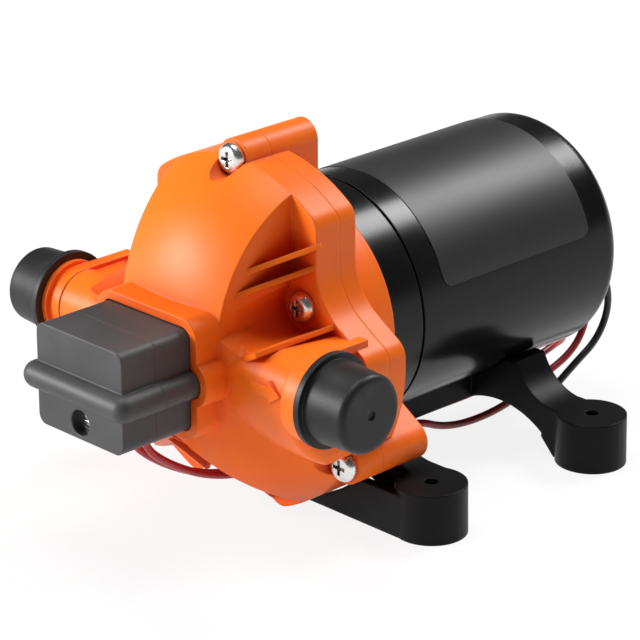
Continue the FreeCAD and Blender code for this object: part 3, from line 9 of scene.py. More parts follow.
import bpy
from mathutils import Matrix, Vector


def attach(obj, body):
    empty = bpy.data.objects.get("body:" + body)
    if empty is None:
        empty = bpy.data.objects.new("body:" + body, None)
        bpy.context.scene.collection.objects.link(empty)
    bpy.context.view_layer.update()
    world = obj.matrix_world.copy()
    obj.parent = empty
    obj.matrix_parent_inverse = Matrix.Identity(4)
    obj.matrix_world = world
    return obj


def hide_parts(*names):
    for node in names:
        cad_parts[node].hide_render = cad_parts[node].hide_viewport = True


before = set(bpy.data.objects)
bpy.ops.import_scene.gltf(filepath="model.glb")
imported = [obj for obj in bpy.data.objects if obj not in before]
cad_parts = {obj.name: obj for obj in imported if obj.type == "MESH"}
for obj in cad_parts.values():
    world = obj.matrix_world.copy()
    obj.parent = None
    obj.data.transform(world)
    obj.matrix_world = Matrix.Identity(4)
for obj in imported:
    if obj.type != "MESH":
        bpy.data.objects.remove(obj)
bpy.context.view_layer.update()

MM = 0.001
BODY = "pump"
NOISE_MIDDLE = 0.5
NODE_SAMPLES = 6
EDGE_STEP = (0.01, 0.25)
SMOOTH_ANGLE = math.radians(35.0)
WHITE = (1.0, 1.0, 1.0)

log = logging.getLogger("pump")

Colour = tuple[float, float, float]
Point = tuple[float, float, float]


class Slot(str, Enum):
    """Material slots of the record, one named with each lead."""

    LABEL = "label"
    RED_WIRE = "red_wire"
    BLACK_WIRE = "black_wire"


class Wire:
    """A number that varies over a surface; arithmetic on it adds Math nodes."""

    def __init__(self, board: "Board", socket: bpy.types.NodeSocket) -> None:
        """Wrap one output socket of a board."""
        self.board = board
        self.socket = socket

    def _maths(self, operation: str, *terms: "Number", clamp: bool = False) -> "Wire":
        """Add one Math node.

        Args:
            operation: Name of the Math node's operation.
            terms: Its inputs, in order.
            clamp: Whether the result is kept between 0 and 1.

        Returns:
            The node's result.
        """
        settings = {"operation": operation, "use_clamp": clamp}
        made = self.board.node("ShaderNodeMath", settings, dict(enumerate(terms)))
        return Wire(self.board, made.outputs[0])

    def __add__(self, other: "Number") -> "Wire":
        """Sum."""
        return self._maths("ADD", self, other)

    def __sub__(self, other: "Number") -> "Wire":
        """Difference."""
        return self._maths("SUBTRACT", self, other)

    def __rsub__(self, other: "Number") -> "Wire":
        """Difference from a number."""
        return self._maths("SUBTRACT", other, self)

    def __mul__(self, other: "Number") -> "Wire":
        """Product."""
        return self._maths("MULTIPLY", self, other)

    __radd__ = __add__
    __rmul__ = __mul__

    def swing(self) -> "Wire":
        """How far a noise is above or below its middle."""
        return self - NOISE_MIDDLE

    def clamped(self) -> "Wire":
        """The value kept between 0 and 1."""
        return self._maths("ADD", self, 0.0, clamp=True)

    def ramp(self, low: float, high: float) -> "Wire":
        """A smooth step from 0 at low to 1 at high.

        Args:
            low: Value at which the step starts.
            high: Value at which it ends.

        Returns:
            The stepped value.
        """
        settings = {"interpolation_type": "SMOOTHSTEP"}
        values = {"Value": self, "From Min": low, "From Max": high}
        made = self.board.node("ShaderNodeMapRange", settings, values)
        return Wire(self.board, made.outputs["Result"])


Number = Union[Wire, float]


class Board:
    """The node board of one material or of the world."""

    def __init__(self, owner: Union[bpy.types.Material, bpy.types.World]) -> None:
        """Start with an empty board.

        Args:
            owner: The material or world that the nodes belong to.
        """
        self.owner = owner
        self.owner.use_nodes = True
        self.tree = self.owner.node_tree
        self.tree.nodes.clear()

    @classmethod
    def named(cls, name: str) -> "Board":
        """The board of a new material."""
        return cls(bpy.data.materials.new(name))

    def node(
        self,
        kind: str,
        settings: Optional[Mapping[str, Any]] = None,
        values: Optional[Mapping[Any, Any]] = None,
    ) -> bpy.types.Node:
        """Add one node.

        Args:
            kind: The node's type.
            settings: Properties that are set before its sockets are used.
            values: Values or links of its input sockets, by name or number.

        Returns:
            The new node.
        """
        made = self.tree.nodes.new(kind)
        for name, setting in (settings or {}).items():
            setattr(made, name, setting)
        for name, value in (values or {}).items():
            if isinstance(value, Wire):
                value = value.socket
            if isinstance(value, bpy.types.NodeSocket):
                self.tree.links.new(value, made.inputs[name])
            else:
                made.inputs[name].default_value = value
        return made

    def place(self, stretch: Point = (1.0, 1.0, 1.0)) -> bpy.types.NodeSocket:
        """The piece's own coordinates, stretched along its axes."""
        made = self.node("ShaderNodeTexCoord")
        values = {"Vector": made.outputs["Object"], "Scale": stretch}
        return self.node("ShaderNodeMapping", None, values).outputs["Vector"]

    def noise(
        self,
        size: float,
        detail: float = 2.0,
        rough: float = 0.5,
        stretch: Point = (1.0, 1.0, 1.0),
    ) -> Wire:
        """Soft noise with marks of about one size.

        Args:
            size: Width of a mark in metres.
            detail: Octaves of finer marks.
            rough: Strength of the finer marks.
            stretch: Scale of the coordinates along each axis.

        Returns:
            A value about 0.5.
        """
        values = {
            "Vector": self.place(stretch),
            "Scale": 1.0 / size,
            "Detail": detail,
            "Roughness": rough,
        }
        return Wire(self, self.node("ShaderNodeTexNoise", None, values).outputs[0])

    def pits(self, size: float) -> Wire:
        """Distance to the nearest of many scattered points, as for pits or specks."""
        values = {"Vector": self.place(), "Scale": 1.0 / size}
        return Wire(self, self.node("ShaderNodeTexVoronoi", None, values).outputs["Distance"])

    def mixed(self, factor: Number, first: Any, second: Any) -> bpy.types.NodeSocket:
        """A colour between two colours.

        Args:
            factor: Share of the second colour.
            first: Colour or colour socket.
            second: Colour or colour socket.

        Returns:
            The colour socket.
        """
        settings = {"data_type": "RGBA"}
        values = {0: factor, 6: opaque(first), 7: opaque(second)}
        return self.node("ShaderNodeMix", settings, values).outputs[2]

    def soft_normal(self, radius: float) -> bpy.types.NodeSocket:
        """Surface direction with each edge rounded by a radius in metres."""
        made = self.node("ShaderNodeBevel", {"samples": NODE_SAMPLES}, {"Radius": radius})
        return made.outputs["Normal"]

    def flat_normal(self) -> bpy.types.NodeSocket:
        """Surface direction as the mesh has it."""
        return self.node("ShaderNodeNewGeometry").outputs["Normal"]

    def painted_shade_mask(self, reach: float, low: float = 0.15, high: float = 0.75) -> Wire:
        """A painted-shade mask from ambient occlusion: 1 deep in recesses and 0 on open faces.

        Args:
            reach: How far away the surrounding walls may be, in metres.
            low: Hidden share of the surroundings at which the mask starts.
            high: Hidden share at which it is full.

        Returns:
            The mask.
        """
        settings = {"samples": NODE_SAMPLES}
        made = self.node("ShaderNodeAmbientOcclusion", settings, {"Distance": reach})
        return (1.0 - Wire(self, made.outputs["AO"])).ramp(low, high)

    def rays(self, *names: str) -> Wire:
        """1 for rays of the named kinds, and 0 for all others."""
        made = self.node("ShaderNodeLightPath")
        return sum(Wire(self, made.outputs[name]) for name in names).clamped()

    def edges(self, radius: float) -> Wire:
        """A mask that is 1 on edges and 0 on open faces."""
        values = {0: self.soft_normal(radius), 1: self.flat_normal()}
        made = self.node("ShaderNodeVectorMath", {"operation": "DOT_PRODUCT"}, values)
        return (1.0 - Wire(self, made.outputs["Value"])).ramp(*EDGE_STEP)

    def bumped(
        self, height: Wire, depth: float, normal: bpy.types.NodeSocket
    ) -> bpy.types.NodeSocket:
        """Relief over a normal.

        Args:
            height: Relief from 0 to 1.
            depth: Its real depth in metres.
            normal: The direction that it stands on.

        Returns:
            The new normal.
        """
        values = {"Height": height, "Distance": depth, "Strength": 1.0, "Normal": normal}
        return self.node("ShaderNodeBump", None, values).outputs["Normal"]

    def surface(self, values: Mapping[str, Any]) -> bpy.types.Material:
        """Close the board with a Principled surface.

        Args:
            values: Values or links of the surface's sockets.

        Returns:
            The finished material.
        """
        shader = self.node("ShaderNodeBsdfPrincipled", None, values)
        self.node("ShaderNodeOutputMaterial", None, {"Surface": shader.outputs[0]})
        return self.owner


def opaque(colour: Any) -> Any:
    """A colour with full alpha; a socket is passed on."""
    return (*colour, 1.0) if isinstance(colour, tuple) else colour


@dataclass(frozen=True)
class MouldedPlastic:
    """Injection-moulded plastic with a spark-eroded grain, soft edges and shade painted into
    recesses.
    """

    name: str
    colour: Colour
    shade: Colour
    edge_colour: Colour
    roughness: float
    grain: float = 0.35 * MM
    grain_depth: float = 0.012 * MM
    speckle: float = 0.0
    edge_radius: float = 0.7 * MM
    edge_share: float = 0.25
    sheen_level: float = 0.25
    painted_shade_colour: Colour = (0.0, 0.0, 0.0)
    painted_shade_share: float = 0.0
    painted_shade_reach: float = 14.0 * MM
    cloud_size: float = 40 * MM
    cloud_share: float = 1.4
    flow_size: float = 9 * MM
    flow_stretch: Point = (1.0, 0.35, 1.0)
    flow_share: float = 0.5
    middle_tone: float = 0.35
    grain_roughness: float = 0.18
    cloud_roughness: float = 0.10
    edge_polish: float = 0.06

    def made(self) -> bpy.types.Material:
        """Build the material."""
        board = Board.named(self.name)
        cloud = board.noise(self.cloud_size, detail=3.0)
        flow = board.noise(self.flow_size, detail=2.0, stretch=self.flow_stretch)
        grain = board.noise(self.grain, detail=3.0, rough=0.6)
        edges = board.edges(self.edge_radius)
        speck = grain.swing() * self.speckle
        wide = cloud.swing() * self.cloud_share + flow.swing() * self.flow_share
        tone = wide + speck + self.middle_tone
        face = board.mixed(tone.clamped(), self.colour, self.shade)
        # Painted shade: ambient occlusion tints the colour towards a deeper tone deep in recesses.
        painted_shade = board.painted_shade_mask(self.painted_shade_reach) * self.painted_shade_share
        body = board.mixed(painted_shade, face, self.painted_shade_colour)
        colour = board.mixed(edges * self.edge_share, body, self.edge_colour)
        uneven = grain.swing() * self.grain_roughness + cloud.swing() * self.cloud_roughness
        rough = uneven + self.roughness - edges * self.edge_polish
        normal = board.bumped(grain, self.grain_depth, board.soft_normal(self.edge_radius))
        return board.surface(
            {
                "Base Color": colour,
                "Roughness": rough.clamped(),
                "Normal": normal,
                "Specular IOR Level": self.sheen_level,
            }
        )


@dataclass(frozen=True)
class GlossPaint:
    """Baked gloss enamel on drawn steel, with slight orange peel and dust."""

    name: str
    colour: Colour
    dust_colour: Colour = (0.09, 0.09, 0.095)
    roughness: float = 0.2
    peel: float = 3.0 * MM
    peel_depth: float = 0.006 * MM
    edge_radius: float = 0.5 * MM
    sheen_level: float = 0.2
    smear_size: float = 28 * MM
    smear_stretch: Point = (1.0, 0.4, 1.0)
    smear_step: tuple[float, float] = (0.5, 0.9)
    smear_share: float = 0.10
    dull_step: tuple[float, float] = (0.35, 0.8)
    dull_share: float = 0.10
    speck_gap: float = 2.6 * MM
    speck_step: tuple[float, float] = (0.03, 0.11)
    speck_share: float = 0.5
    speck_roughness: float = 0.3
    patch_size: float = 12 * MM
    patch_step: tuple[float, float] = (0.58, 0.68)
    edge_share: float = 0.25

    def made(self) -> bpy.types.Material:
        """Build the material."""
        board = Board.named(self.name)
        peel = board.noise(self.peel, detail=1.0)
        smear = board.noise(self.smear_size, detail=4.0, rough=0.6, stretch=self.smear_stretch)
        points = 1.0 - board.pits(self.speck_gap).ramp(*self.speck_step)
        specks = points * board.noise(self.patch_size).ramp(*self.patch_step)
        edges = board.edges(self.edge_radius)
        film = smear.ramp(*self.smear_step) * self.smear_share
        dust = (specks * self.speck_share + film + edges * self.edge_share).clamped()
        dull = smear.ramp(*self.dull_step) * self.dull_share
        normal = board.bumped(peel, self.peel_depth, board.soft_normal(self.edge_radius))
        return board.surface(
            {
                "Base Color": board.mixed(dust, self.colour, self.dust_colour),
                "Roughness": dull + specks * self.speck_roughness + self.roughness,
                "Normal": normal,
                "Specular IOR Level": self.sheen_level,
            }
        )


@dataclass(frozen=True)
class PrintFilm:
    """Matt printing film with a barely raised rim, left bare."""

    name: str
    colour: Colour
    scuff_colour: Colour
    roughness: float = 0.42
    fibre_size: float = 0.25 * MM
    fibre_depth: float = 0.004 * MM
    fibre_share: float = 0.25
    fibre_roughness: float = 0.16
    cloud_size: float = 22 * MM
    cloud_stretch: Point = (1.0, 0.5, 1.0)
    cloud_step: tuple[float, float] = (0.35, 0.8)
    cloud_share: float = 0.22
    cloud_roughness: float = 0.08
    scratch_size: float = 0.5 * MM
    scratch_stretch: Point = (1.0, 0.04, 1.0)
    scratch_step: tuple[float, float] = (0.66, 0.74)
    scratch_share: float = 0.2

    def made(self) -> bpy.types.Material:
        """Build the material."""
        board = Board.named(self.name)
        fibre = board.noise(self.fibre_size, detail=3.0, rough=0.7)
        cloud = board.noise(self.cloud_size, detail=3.0, stretch=self.cloud_stretch)
        lines = board.noise(self.scratch_size, detail=1.0, stretch=self.scratch_stretch)
        scratch = lines.ramp(*self.scratch_step) * self.scratch_share
        worn = cloud.ramp(*self.cloud_step) * self.cloud_share + scratch
        tone = (worn + fibre.swing() * self.fibre_share).clamped()
        uneven = fibre.swing() * self.fibre_roughness + cloud * self.cloud_roughness
        return board.surface(
            {
                "Base Color": board.mixed(tone, self.colour, self.scuff_colour),
                "Roughness": uneven + self.roughness,
                "Normal": board.bumped(fibre, self.fibre_depth, board.flat_normal()),
            }
        )


@dataclass(frozen=True)
class Rubber:
    """Moulded rubber or soft PVC with a satin skin and a trace of talc."""

    name: str
    colour: Colour
    talc: Colour = (0.11, 0.11, 0.11)
    roughness: float = 0.46
    edge_radius: float = 0.6 * MM
    sheen_level: float = 0.3
    skin_size: float = 0.6 * MM
    skin_depth: float = 0.010 * MM
    skin_share: float = 0.2
    skin_roughness: float = 0.2
    cloud_size: float = 14 * MM
    cloud_step: tuple[float, float] = (0.45, 0.85)
    cloud_share: float = 0.22
    cloud_roughness: float = 0.14
    edge_share: float = 0.22

    def made(self) -> bpy.types.Material:
        """Build the material."""
        board = Board.named(self.name)
        skin = board.noise(self.skin_size, detail=3.0, rough=0.6)
        cloud = board.noise(self.cloud_size, detail=4.0)
        edges = board.edges(self.edge_radius)
        rubbed = cloud.ramp(*self.cloud_step) * self.cloud_share + edges * self.edge_share
        talc = (rubbed + skin.swing() * self.skin_share).clamped()
        uneven = skin.swing() * self.skin_roughness + cloud.swing() * self.cloud_roughness
        normal = board.bumped(skin, self.skin_depth, board.soft_normal(self.edge_radius))
        return board.surface(
            {
                "Base Color": board.mixed(talc, self.colour, self.talc),
                "Roughness": uneven + self.roughness,
                "Normal": normal,
                "Specular IOR Level": self.sheen_level,
            }
        )


@dataclass(frozen=True)
class Metal:
    """Bare or plated metal with fine machining marks, and shade painted dark into its recesses."""

    name: str
    colour: Colour
    tarnish: Colour
    roughness: float
    stretch: Point = (1.0, 1.0, 1.0)
    mark: float = 0.5 * MM
    edge_radius: float = 0.3 * MM
    painted_recess_shade: Colour = (0.05, 0.045, 0.04)
    painted_recess_reach: float = 1.6 * MM
    painted_recess_share: float = 0.9
    painted_recess_step: tuple[float, float] = (0.35, 0.85)
    mark_depth: float = 0.006 * MM
    mark_share: float = 0.3
    mark_roughness: float = 0.25
    cloud_size: float = 5 * MM
    cloud_step: tuple[float, float] = (0.4, 0.85)
    cloud_share: float = 0.45
    cloud_roughness: float = 0.12

    def made(self) -> bpy.types.Material:
        """Build the material."""
        board = Board.named(self.name)
        marks = board.noise(self.mark, detail=3.0, rough=0.6, stretch=self.stretch)
        cloud = board.noise(self.cloud_size, detail=3.0)
        patches = cloud.ramp(*self.cloud_step) * self.cloud_share
        tone = (patches + marks.swing() * self.mark_share).clamped()
        open_face = board.mixed(tone, self.colour, self.tarnish)
        # Painted shade: ambient occlusion darkens the colour in screw recesses and crevices.
        painted_recess_mask = board.painted_shade_mask(self.painted_recess_reach, *self.painted_recess_step) * self.painted_recess_share
        uneven = marks.swing() * self.mark_roughness + cloud.swing() * self.cloud_roughness
        normal = board.bumped(marks, self.mark_depth, board.soft_normal(self.edge_radius))
        return board.surface(
            {
                "Base Color": board.mixed(painted_recess_mask, open_face, self.painted_recess_shade),
                "Metallic": 1.0,
                "Roughness": uneven + self.roughness,
                "Normal": normal,
            }
        )


@dataclass(frozen=True)
class Insulation:
    """Extruded wire insulation, slightly uneven along its length."""

    name: str
    colour: Colour
    shade: Colour
    roughness: float = 0.28
    drag_size: float = 6 * MM
    drag_step: tuple[float, float] = (0.3, 0.75)
    drag_roughness: float = 0.12
    skin_size: float = 0.4 * MM
    skin_depth: float = 0.008 * MM
    skin_roughness: float = 0.2

    def made(self) -> bpy.types.Material:
        """Build the material."""
        board = Board.named(self.name)
        drag = board.noise(self.drag_size, detail=3.0)
        skin = board.noise(self.skin_size, detail=2.0)
        tone = drag.ramp(*self.drag_step)
        uneven = skin.swing() * self.skin_roughness + drag * self.drag_roughness
        return board.surface(
            {
                "Base Color": board.mixed(tone, self.colour, self.shade),
                "Roughness": uneven + self.roughness,
                "Normal": board.bumped(skin, self.skin_depth, board.flat_normal()),
            }
        )


Finish = Union[MouldedPlastic, GlossPaint, PrintFilm, Rubber, Metal, Insulation]

HOUSING_ORANGE = MouldedPlastic(
    "housing_orange",
    colour=(0.94, 0.170, 0.008),
    shade=(0.88, 0.130, 0.006),
    edge_colour=(1.0, 0.26, 0.03),
    roughness=0.42,
    # Deeper red painted as shade into the housing's recesses.
    painted_shade_colour=(0.66, 0.040, 0.003),
    painted_shade_share=0.9,
    grain=0.5 * MM,
    grain_depth=0.010 * MM,
    edge_radius=0.8 * MM,
    edge_share=0.35,
)
BRACKET_BLACK = MouldedPlastic(
    "bracket_black",
    colour=(0.006, 0.006, 0.0065),
    shade=(0.011, 0.011, 0.012),
    edge_colour=(0.035, 0.035, 0.037),
    roughness=0.42,
    sheen_level=0.12,
    edge_radius=1.0 * MM,
)
SWITCH_CHARCOAL = MouldedPlastic(
    "switch_charcoal",
    colour=(0.034, 0.033, 0.034),
    shade=(0.072, 0.070, 0.073),
    edge_colour=(0.12, 0.12, 0.125),
    roughness=0.50,
    sheen_level=0.45,
    grain=0.28 * MM,
    grain_depth=0.030 * MM,
    speckle=1.6,
    edge_radius=0.9 * MM,
)
INNER_WHITE = MouldedPlastic(
    "inner_white",
    colour=(0.78, 0.77, 0.73),
    shade=(0.70, 0.69, 0.64),
    edge_colour=(0.86, 0.85, 0.82),
    roughness=0.45,
)
BRUSH_CARBON = MouldedPlastic(
    "brush_carbon",
    colour=(0.045, 0.045, 0.047),
    shade=(0.075, 0.075, 0.08),
    edge_colour=(0.12, 0.12, 0.12),
    roughness=0.6,
)
MOTOR_BLACK = GlossPaint("motor_black", colour=(0.006, 0.006, 0.0065))
LABEL_FILM = PrintFilm(
    "label_film", colour=(0.016, 0.015, 0.015), scuff_colour=(0.045, 0.043, 0.043)
)
CAP_RUBBER = Rubber("cap_rubber", colour=(0.011, 0.011, 0.012))
SEAL_RUBBER = Rubber("seal_rubber", colour=(0.014, 0.014, 0.014), roughness=0.6)
SCREW_STEEL = Metal("screw_steel", (0.80, 0.79, 0.77), (0.50, 0.49, 0.48), 0.26)
GROUND_STEEL = Metal("ground_steel", (0.62, 0.62, 0.63), (0.40, 0.40, 0.41), 0.3, (1.0, 6.0, 1.0))
BEARING_CHROME = Metal("bearing_chrome", (0.80, 0.80, 0.82), (0.62, 0.62, 0.64), 0.14)
LAMINATION = Metal("lamination", (0.34, 0.34, 0.36), (0.20, 0.19, 0.19), 0.42, (1.0, 12.0, 1.0))
MAGNET_GREY = Metal("magnet_grey", (0.14, 0.14, 0.15), (0.09, 0.09, 0.09), 0.62)
ENAMELLED_COPPER = Metal("enamelled_copper", (0.72, 0.34, 0.14), (0.45, 0.17, 0.06), 0.3)
TINNED_STRANDS = Metal(
    "tinned_strands", (0.72, 0.70, 0.66), (0.45, 0.43, 0.40), 0.35, (5.0, 1.0, 5.0)
)
RED_INSULATION = Insulation("red_insulation", (0.46, 0.012, 0.022), (0.34, 0.008, 0.014))
BLACK_INSULATION = Insulation("black_insulation", (0.016, 0.016, 0.018), (0.026, 0.026, 0.028))


class Wardrobe:
    """Keeps one material for each finish and dresses pieces in it."""

    def __init__(self) -> None:
        """Start with nothing made."""
        self.materials: dict[str, bpy.types.Material] = {}

    def dress(self, piece: bpy.types.Object, finish: Finish) -> None:
        """Give a piece its only material.

        Args:
            piece: A CAD node's object or a new piece.
            finish: What its surface is.
        """
        if finish.name not in self.materials:
            self.materials[finish.name] = finish.made()
        piece.data.materials.clear()
        piece.data.materials.append(self.materials[finish.name])

    def dress_nodes(self, finishes: Mapping[str, Finish]) -> None:
        """Dress CAD nodes by name.

        Args:
            finishes: Finish of each node.
        """
        for name, finish in finishes.items():
            self.dress(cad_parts[name], finish)
            log.info("%s: %s", name, finish.name)


@dataclass
class PumpHead:
    """Orange housings with what works inside them."""

    finishes: dict[str, Finish] = field(
        default_factory=lambda: {
            "upper_housing": HOUSING_ORANGE,
            "drive_housing": HOUSING_ORANGE,
            "housing_screws": SCREW_STEEL,
            "housing_seal": SEAL_RUBBER,
            "valve_plate": INNER_WHITE,
            "inlet_valves": SEAL_RUBBER,
            "outlet_valve": SEAL_RUBBER,
            "diaphragm": SEAL_RUBBER,
            "pistons": INNER_WHITE,
            "piston_screws": SCREW_STEEL,
            "wobble_plate": INNER_WHITE,
            "cam_bearing": BEARING_CHROME,
            "eccentric_cam": GROUND_STEEL,
        }
    )

    def build(self, wardrobe: Wardrobe) -> None:
        """Dress the head."""
        wardrobe.dress_nodes(self.finishes)


@dataclass
class PortCaps:
    """Rubber caps over the two hose tubes."""

    finishes: dict[str, Finish] = field(
        default_factory=lambda: {"outlet_cap": CAP_RUBBER, "inlet_cap": CAP_RUBBER}
    )

    def build(self, wardrobe: Wardrobe) -> None:
        """Dress the caps."""
        wardrobe.dress_nodes(self.finishes)


@dataclass
class PressureSwitch:
    """Two-part switch box in the collar of the head."""

    finishes: dict[str, Finish] = field(
        default_factory=lambda: {
            "switch_base": SWITCH_CHARCOAL,
            "switch_cover": SWITCH_CHARCOAL,
            "adjust_screw": SCREW_STEEL,
            "switch_plunger": INNER_WHITE,
            "switch_spring": GROUND_STEEL,
            "switch_diaphragm": SEAL_RUBBER,
            "microswitch": BRUSH_CARBON,
        }
    )

    def build(self, wardrobe: Wardrobe) -> None:
        """Dress the switch."""
        wardrobe.dress_nodes(self.finishes)


@dataclass
class Motor:
    """Gloss black motor with its bare label."""

    axis_height: float = 56.2 * MM
    label_radius: float = 40.12 * MM
    label_front: float = -9.3 * MM
    label_length: float = 68.8 * MM
    label_low_angle: float = math.radians(75.0)
    label_span: float = math.radians(115.0)
    label_corner: float = 3.6 * MM
    label_thickness: float = 0.15 * MM
    corner_steps: int = 8
    columns: int = 46
    finishes: dict[str, Finish] = field(
        default_factory=lambda: {
            "motor_can": MOTOR_BLACK,
            "motor_front_bell": MOTOR_BLACK,
            "motor_magnets": MAGNET_GREY,
            "armature_core": LAMINATION,
            "armature_winding": ENAMELLED_COPPER,
            "commutator": ENAMELLED_COPPER,
            "brush_holder": INNER_WHITE,
            "brushes": BRUSH_CARBON,
            "brush_springs": GROUND_STEEL,
            "motor_shaft": GROUND_STEEL,
            "front_bearing": BEARING_CHROME,
            "rear_bearing": BEARING_CHROME,
            "motor_screws": SCREW_STEEL,
            "lead_grommets": SEAL_RUBBER,
        }
    )

    def build(self, wardrobe: Wardrobe) -> None:
        """Dress the motor and lay its label."""
        wardrobe.dress_nodes(self.finishes)
        label = self.label()
        wardrobe.dress(label, LABEL_FILM)
        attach(label, BODY)
        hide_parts("rating_label")
        log.info("label: %d faces", len(label.data.polygons))

    def label(self) -> bpy.types.Object:
        """Cut the label flat with round corners, then wrap it round the can.

        Returns:
            The label.
        """
        width = self.label_radius * self.label_span
        bpy.ops.object.select_all(action="DESELECT")
        bpy.ops.mesh.primitive_plane_add(size=1.0)
        piece = bpy.context.object
        piece.name = "label_film"
        piece.data.name = "label_film"
        bpy.ops.object.mode_set(mode="EDIT")
        bpy.ops.transform.resize(value=(width, self.label_length, 1.0))
        corner = {"offset": self.label_corner, "segments": self.corner_steps}
        bpy.ops.mesh.bevel(affect="VERTICES", **corner)
        for column in range(1, self.columns):
            across = (column / self.columns - 0.5) * width
            bpy.ops.mesh.select_all(action="SELECT")
            bpy.ops.mesh.bisect(plane_co=(across, 0.0, 0.0), plane_no=(1.0, 0.0, 0.0))
        bpy.ops.object.mode_set(mode="OBJECT")
        middle = self.label_front + self.label_length / 2.0
        for vertex in piece.data.vertices:
            angle = self.label_low_angle - self.label_span / 2.0 - vertex.co.x / self.label_radius
            x = math.sin(angle) * self.label_radius
            z = math.cos(angle) * self.label_radius + self.axis_height
            vertex.co = (x, middle + vertex.co.y, z)
        apply_modifier(piece, "SOLIDIFY", {"thickness": self.label_thickness, "offset": 0.0})
        outwards(piece)
        return piece


def apply_modifier(piece: bpy.types.Object, kind: str, settings: Mapping[str, Any]) -> None:
    """Add a modifier and apply it.

    Args:
        piece: The piece to change.
        kind: The modifier's type.
        settings: Its properties.
    """
    select_only(piece)
    modifier = piece.modifiers.new(kind.lower(), kind)
    for name, setting in settings.items():
        setattr(modifier, name, setting)
    bpy.ops.object.modifier_apply(modifier=modifier.name)


def select_only(piece: bpy.types.Object) -> None:
    """Make a piece the only one selected, and the active one."""
    bpy.ops.object.select_all(action="DESELECT")
    piece.select_set(True)
    bpy.context.view_layer.objects.active = piece


def outwards(piece: bpy.types.Object) -> None:
    """Turn a piece's faces outwards and smooth its shallow edges."""
    select_only(piece)
    bpy.ops.object.mode_set(mode="EDIT")
    bpy.ops.mesh.select_all(action="SELECT")
    bpy.ops.mesh.normals_make_consistent(inside=False)
    bpy.ops.object.mode_set(mode="OBJECT")
    bpy.ops.object.shade_smooth_by_angle(angle=SMOOTH_ANGLE)


@dataclass
class Bracket:
    """One-piece bracket with four feet."""

    finishes: dict[str, Finish] = field(
        default_factory=lambda: {"base_bracket": BRACKET_BLACK, "bracket_screws": SCREW_STEEL}
    )

    def build(self, wardrobe: Wardrobe) -> None:
        """Dress the bracket."""
        wardrobe.dress_nodes(self.finishes)


@dataclass(frozen=True)
class Lead:
    """One thin lead: where it runs, in millimetres, and what it ends in."""

    name: str
    node: str
    finish: Finish
    slot: Slot
    length: float
    exit: Point
    far_end: str
    route: tuple[Point, ...]


LINK_LEAD = Lead(
    name="link_wire",
    node="link_lead",
    finish=RED_INSULATION,
    slot=Slot.RED_WIRE,
    length=249.5,
    exit=(3.0, -106.0, 39.3),
    far_end="object",
    route=(
        (3.0, -106.0, 43.7),
        (3.0, -106.0, 32.0),
        (1.5, -93.5, 21.0),
        (0.8, -76.0, 11.0),
        (0.8, -58.0, 6.5),
        (4.0, -42.0, 6.0),
        (15.0, -23.0, 8.6),
        (17.8, -2.0, 13.0),
        (17.0, 17.0, 3.8),
        (16.5, 42.0, 2.6),
        (16.0, 63.0, 8.0),
        (15.6, 81.0, 13.0),
        (15.0, 88.5, 24.5),
        (15.0, 84.4, 38.0),
        (15.0, 71.0, 38.0),
    ),
)
RED_SUPPLY = Lead(
    name="red_supply_wire",
    node="supply_lead_red",
    finish=RED_INSULATION,
    slot=Slot.RED_WIRE,
    length=285.3,
    exit=(-3.0, -106.0, 39.3),
    far_end="bare",
    route=(
        (-3.0, -106.0, 43.7),
        (-3.0, -106.0, 31.5),
        (-4.2, -94.0, 20.5),
        (-4.0, -76.5, 10.5),
        (-3.4, -58.5, 5.8),
        (-0.5, -42.0, 5.0),
        (6.0, -24.0, 7.4),
        (8.4, -4.0, 8.5),
        (8.2, 18.0, 8.2),
        (8.8, 38.0, 8.0),
        (10.5, 57.0, 10.4),
        (10.0, 75.0, 14.2),
        (3.0, 91.0, 11.5),
        (-12.0, 100.0, 5.2),
        (-30.0, 98.0, 1.9),
        (-42.5, 85.0, 1.45),
        (-44.0, 72.0, 1.35),
    ),
)
BLACK_SUPPLY = Lead(
    name="black_supply_wire",
    node="supply_lead_black",
    finish=BLACK_INSULATION,
    slot=Slot.BLACK_WIRE,
    length=129.1,
    exit=(24.0, 75.8, 44.0),
    far_end="bare",
    route=(
        (24.0, 71.0, 44.0),
        (24.0, 84.4, 44.0),
        (24.0, 88.8, 30.8),
        (23.8, 83.5, 19.0),
        (23.5, 71.0, 12.5),
        (23.2, 60.0, 5.8),
        (19.0, 53.5, 2.1),
        (7.0, 53.0, 1.5),
        (-7.0, 54.5, 1.4),
        (-20.0, 59.0, 1.4),
        (-33.0, 70.0, 1.35),
    ),
)


@dataclass
class Leads:
    """The three thin leads and their stripped ends."""

    radius: float = 1.25 * MM
    leads: tuple[Lead, ...] = (LINK_LEAD, RED_SUPPLY, BLACK_SUPPLY)
    tips: str = "lead_tips"
    curve_order: int = 3
    steps_along: int = 10
    steps_round: int = 5

    def build(self, wardrobe: Wardrobe) -> None:
        """Lay every lead."""
        wardrobe.dress_nodes({self.tips: TINNED_STRANDS})
        for lead in self.leads:
            piece = self.laid(lead)
            wardrobe.dress(piece, lead.finish)
            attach(piece, BODY)
            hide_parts(lead.node)
            log.info("%s: %d points", lead.name, len(lead.route))

    def laid(self, lead: Lead) -> bpy.types.Object:
        """One lead along its route.

        Args:
            lead: The lead.

        Returns:
            A round curve whose control points are the route's.
        """
        curve = bpy.data.curves.new(lead.name, "CURVE")
        curve.dimensions = "3D"
        curve.bevel_depth = self.radius
        curve.bevel_resolution = self.steps_round
        curve.use_fill_caps = True
        spline = curve.splines.new("NURBS")
        spline.points.add(len(lead.route) - 1)
        for control, point in zip(spline.points, lead.route):
            control.co = (*(value * MM for value in point), 1.0)
        spline.order_u = self.curve_order
        spline.use_endpoint_u = True
        spline.resolution_u = self.steps_along
        piece = bpy.data.objects.new(lead.name, curve)
        bpy.context.scene.collection.objects.link(piece)
        return piece


@dataclass(frozen=True)
class Lamp:
    """One soft square lamp, in metres and watts."""

    name: str
    place: Point
    side: float
    power: float


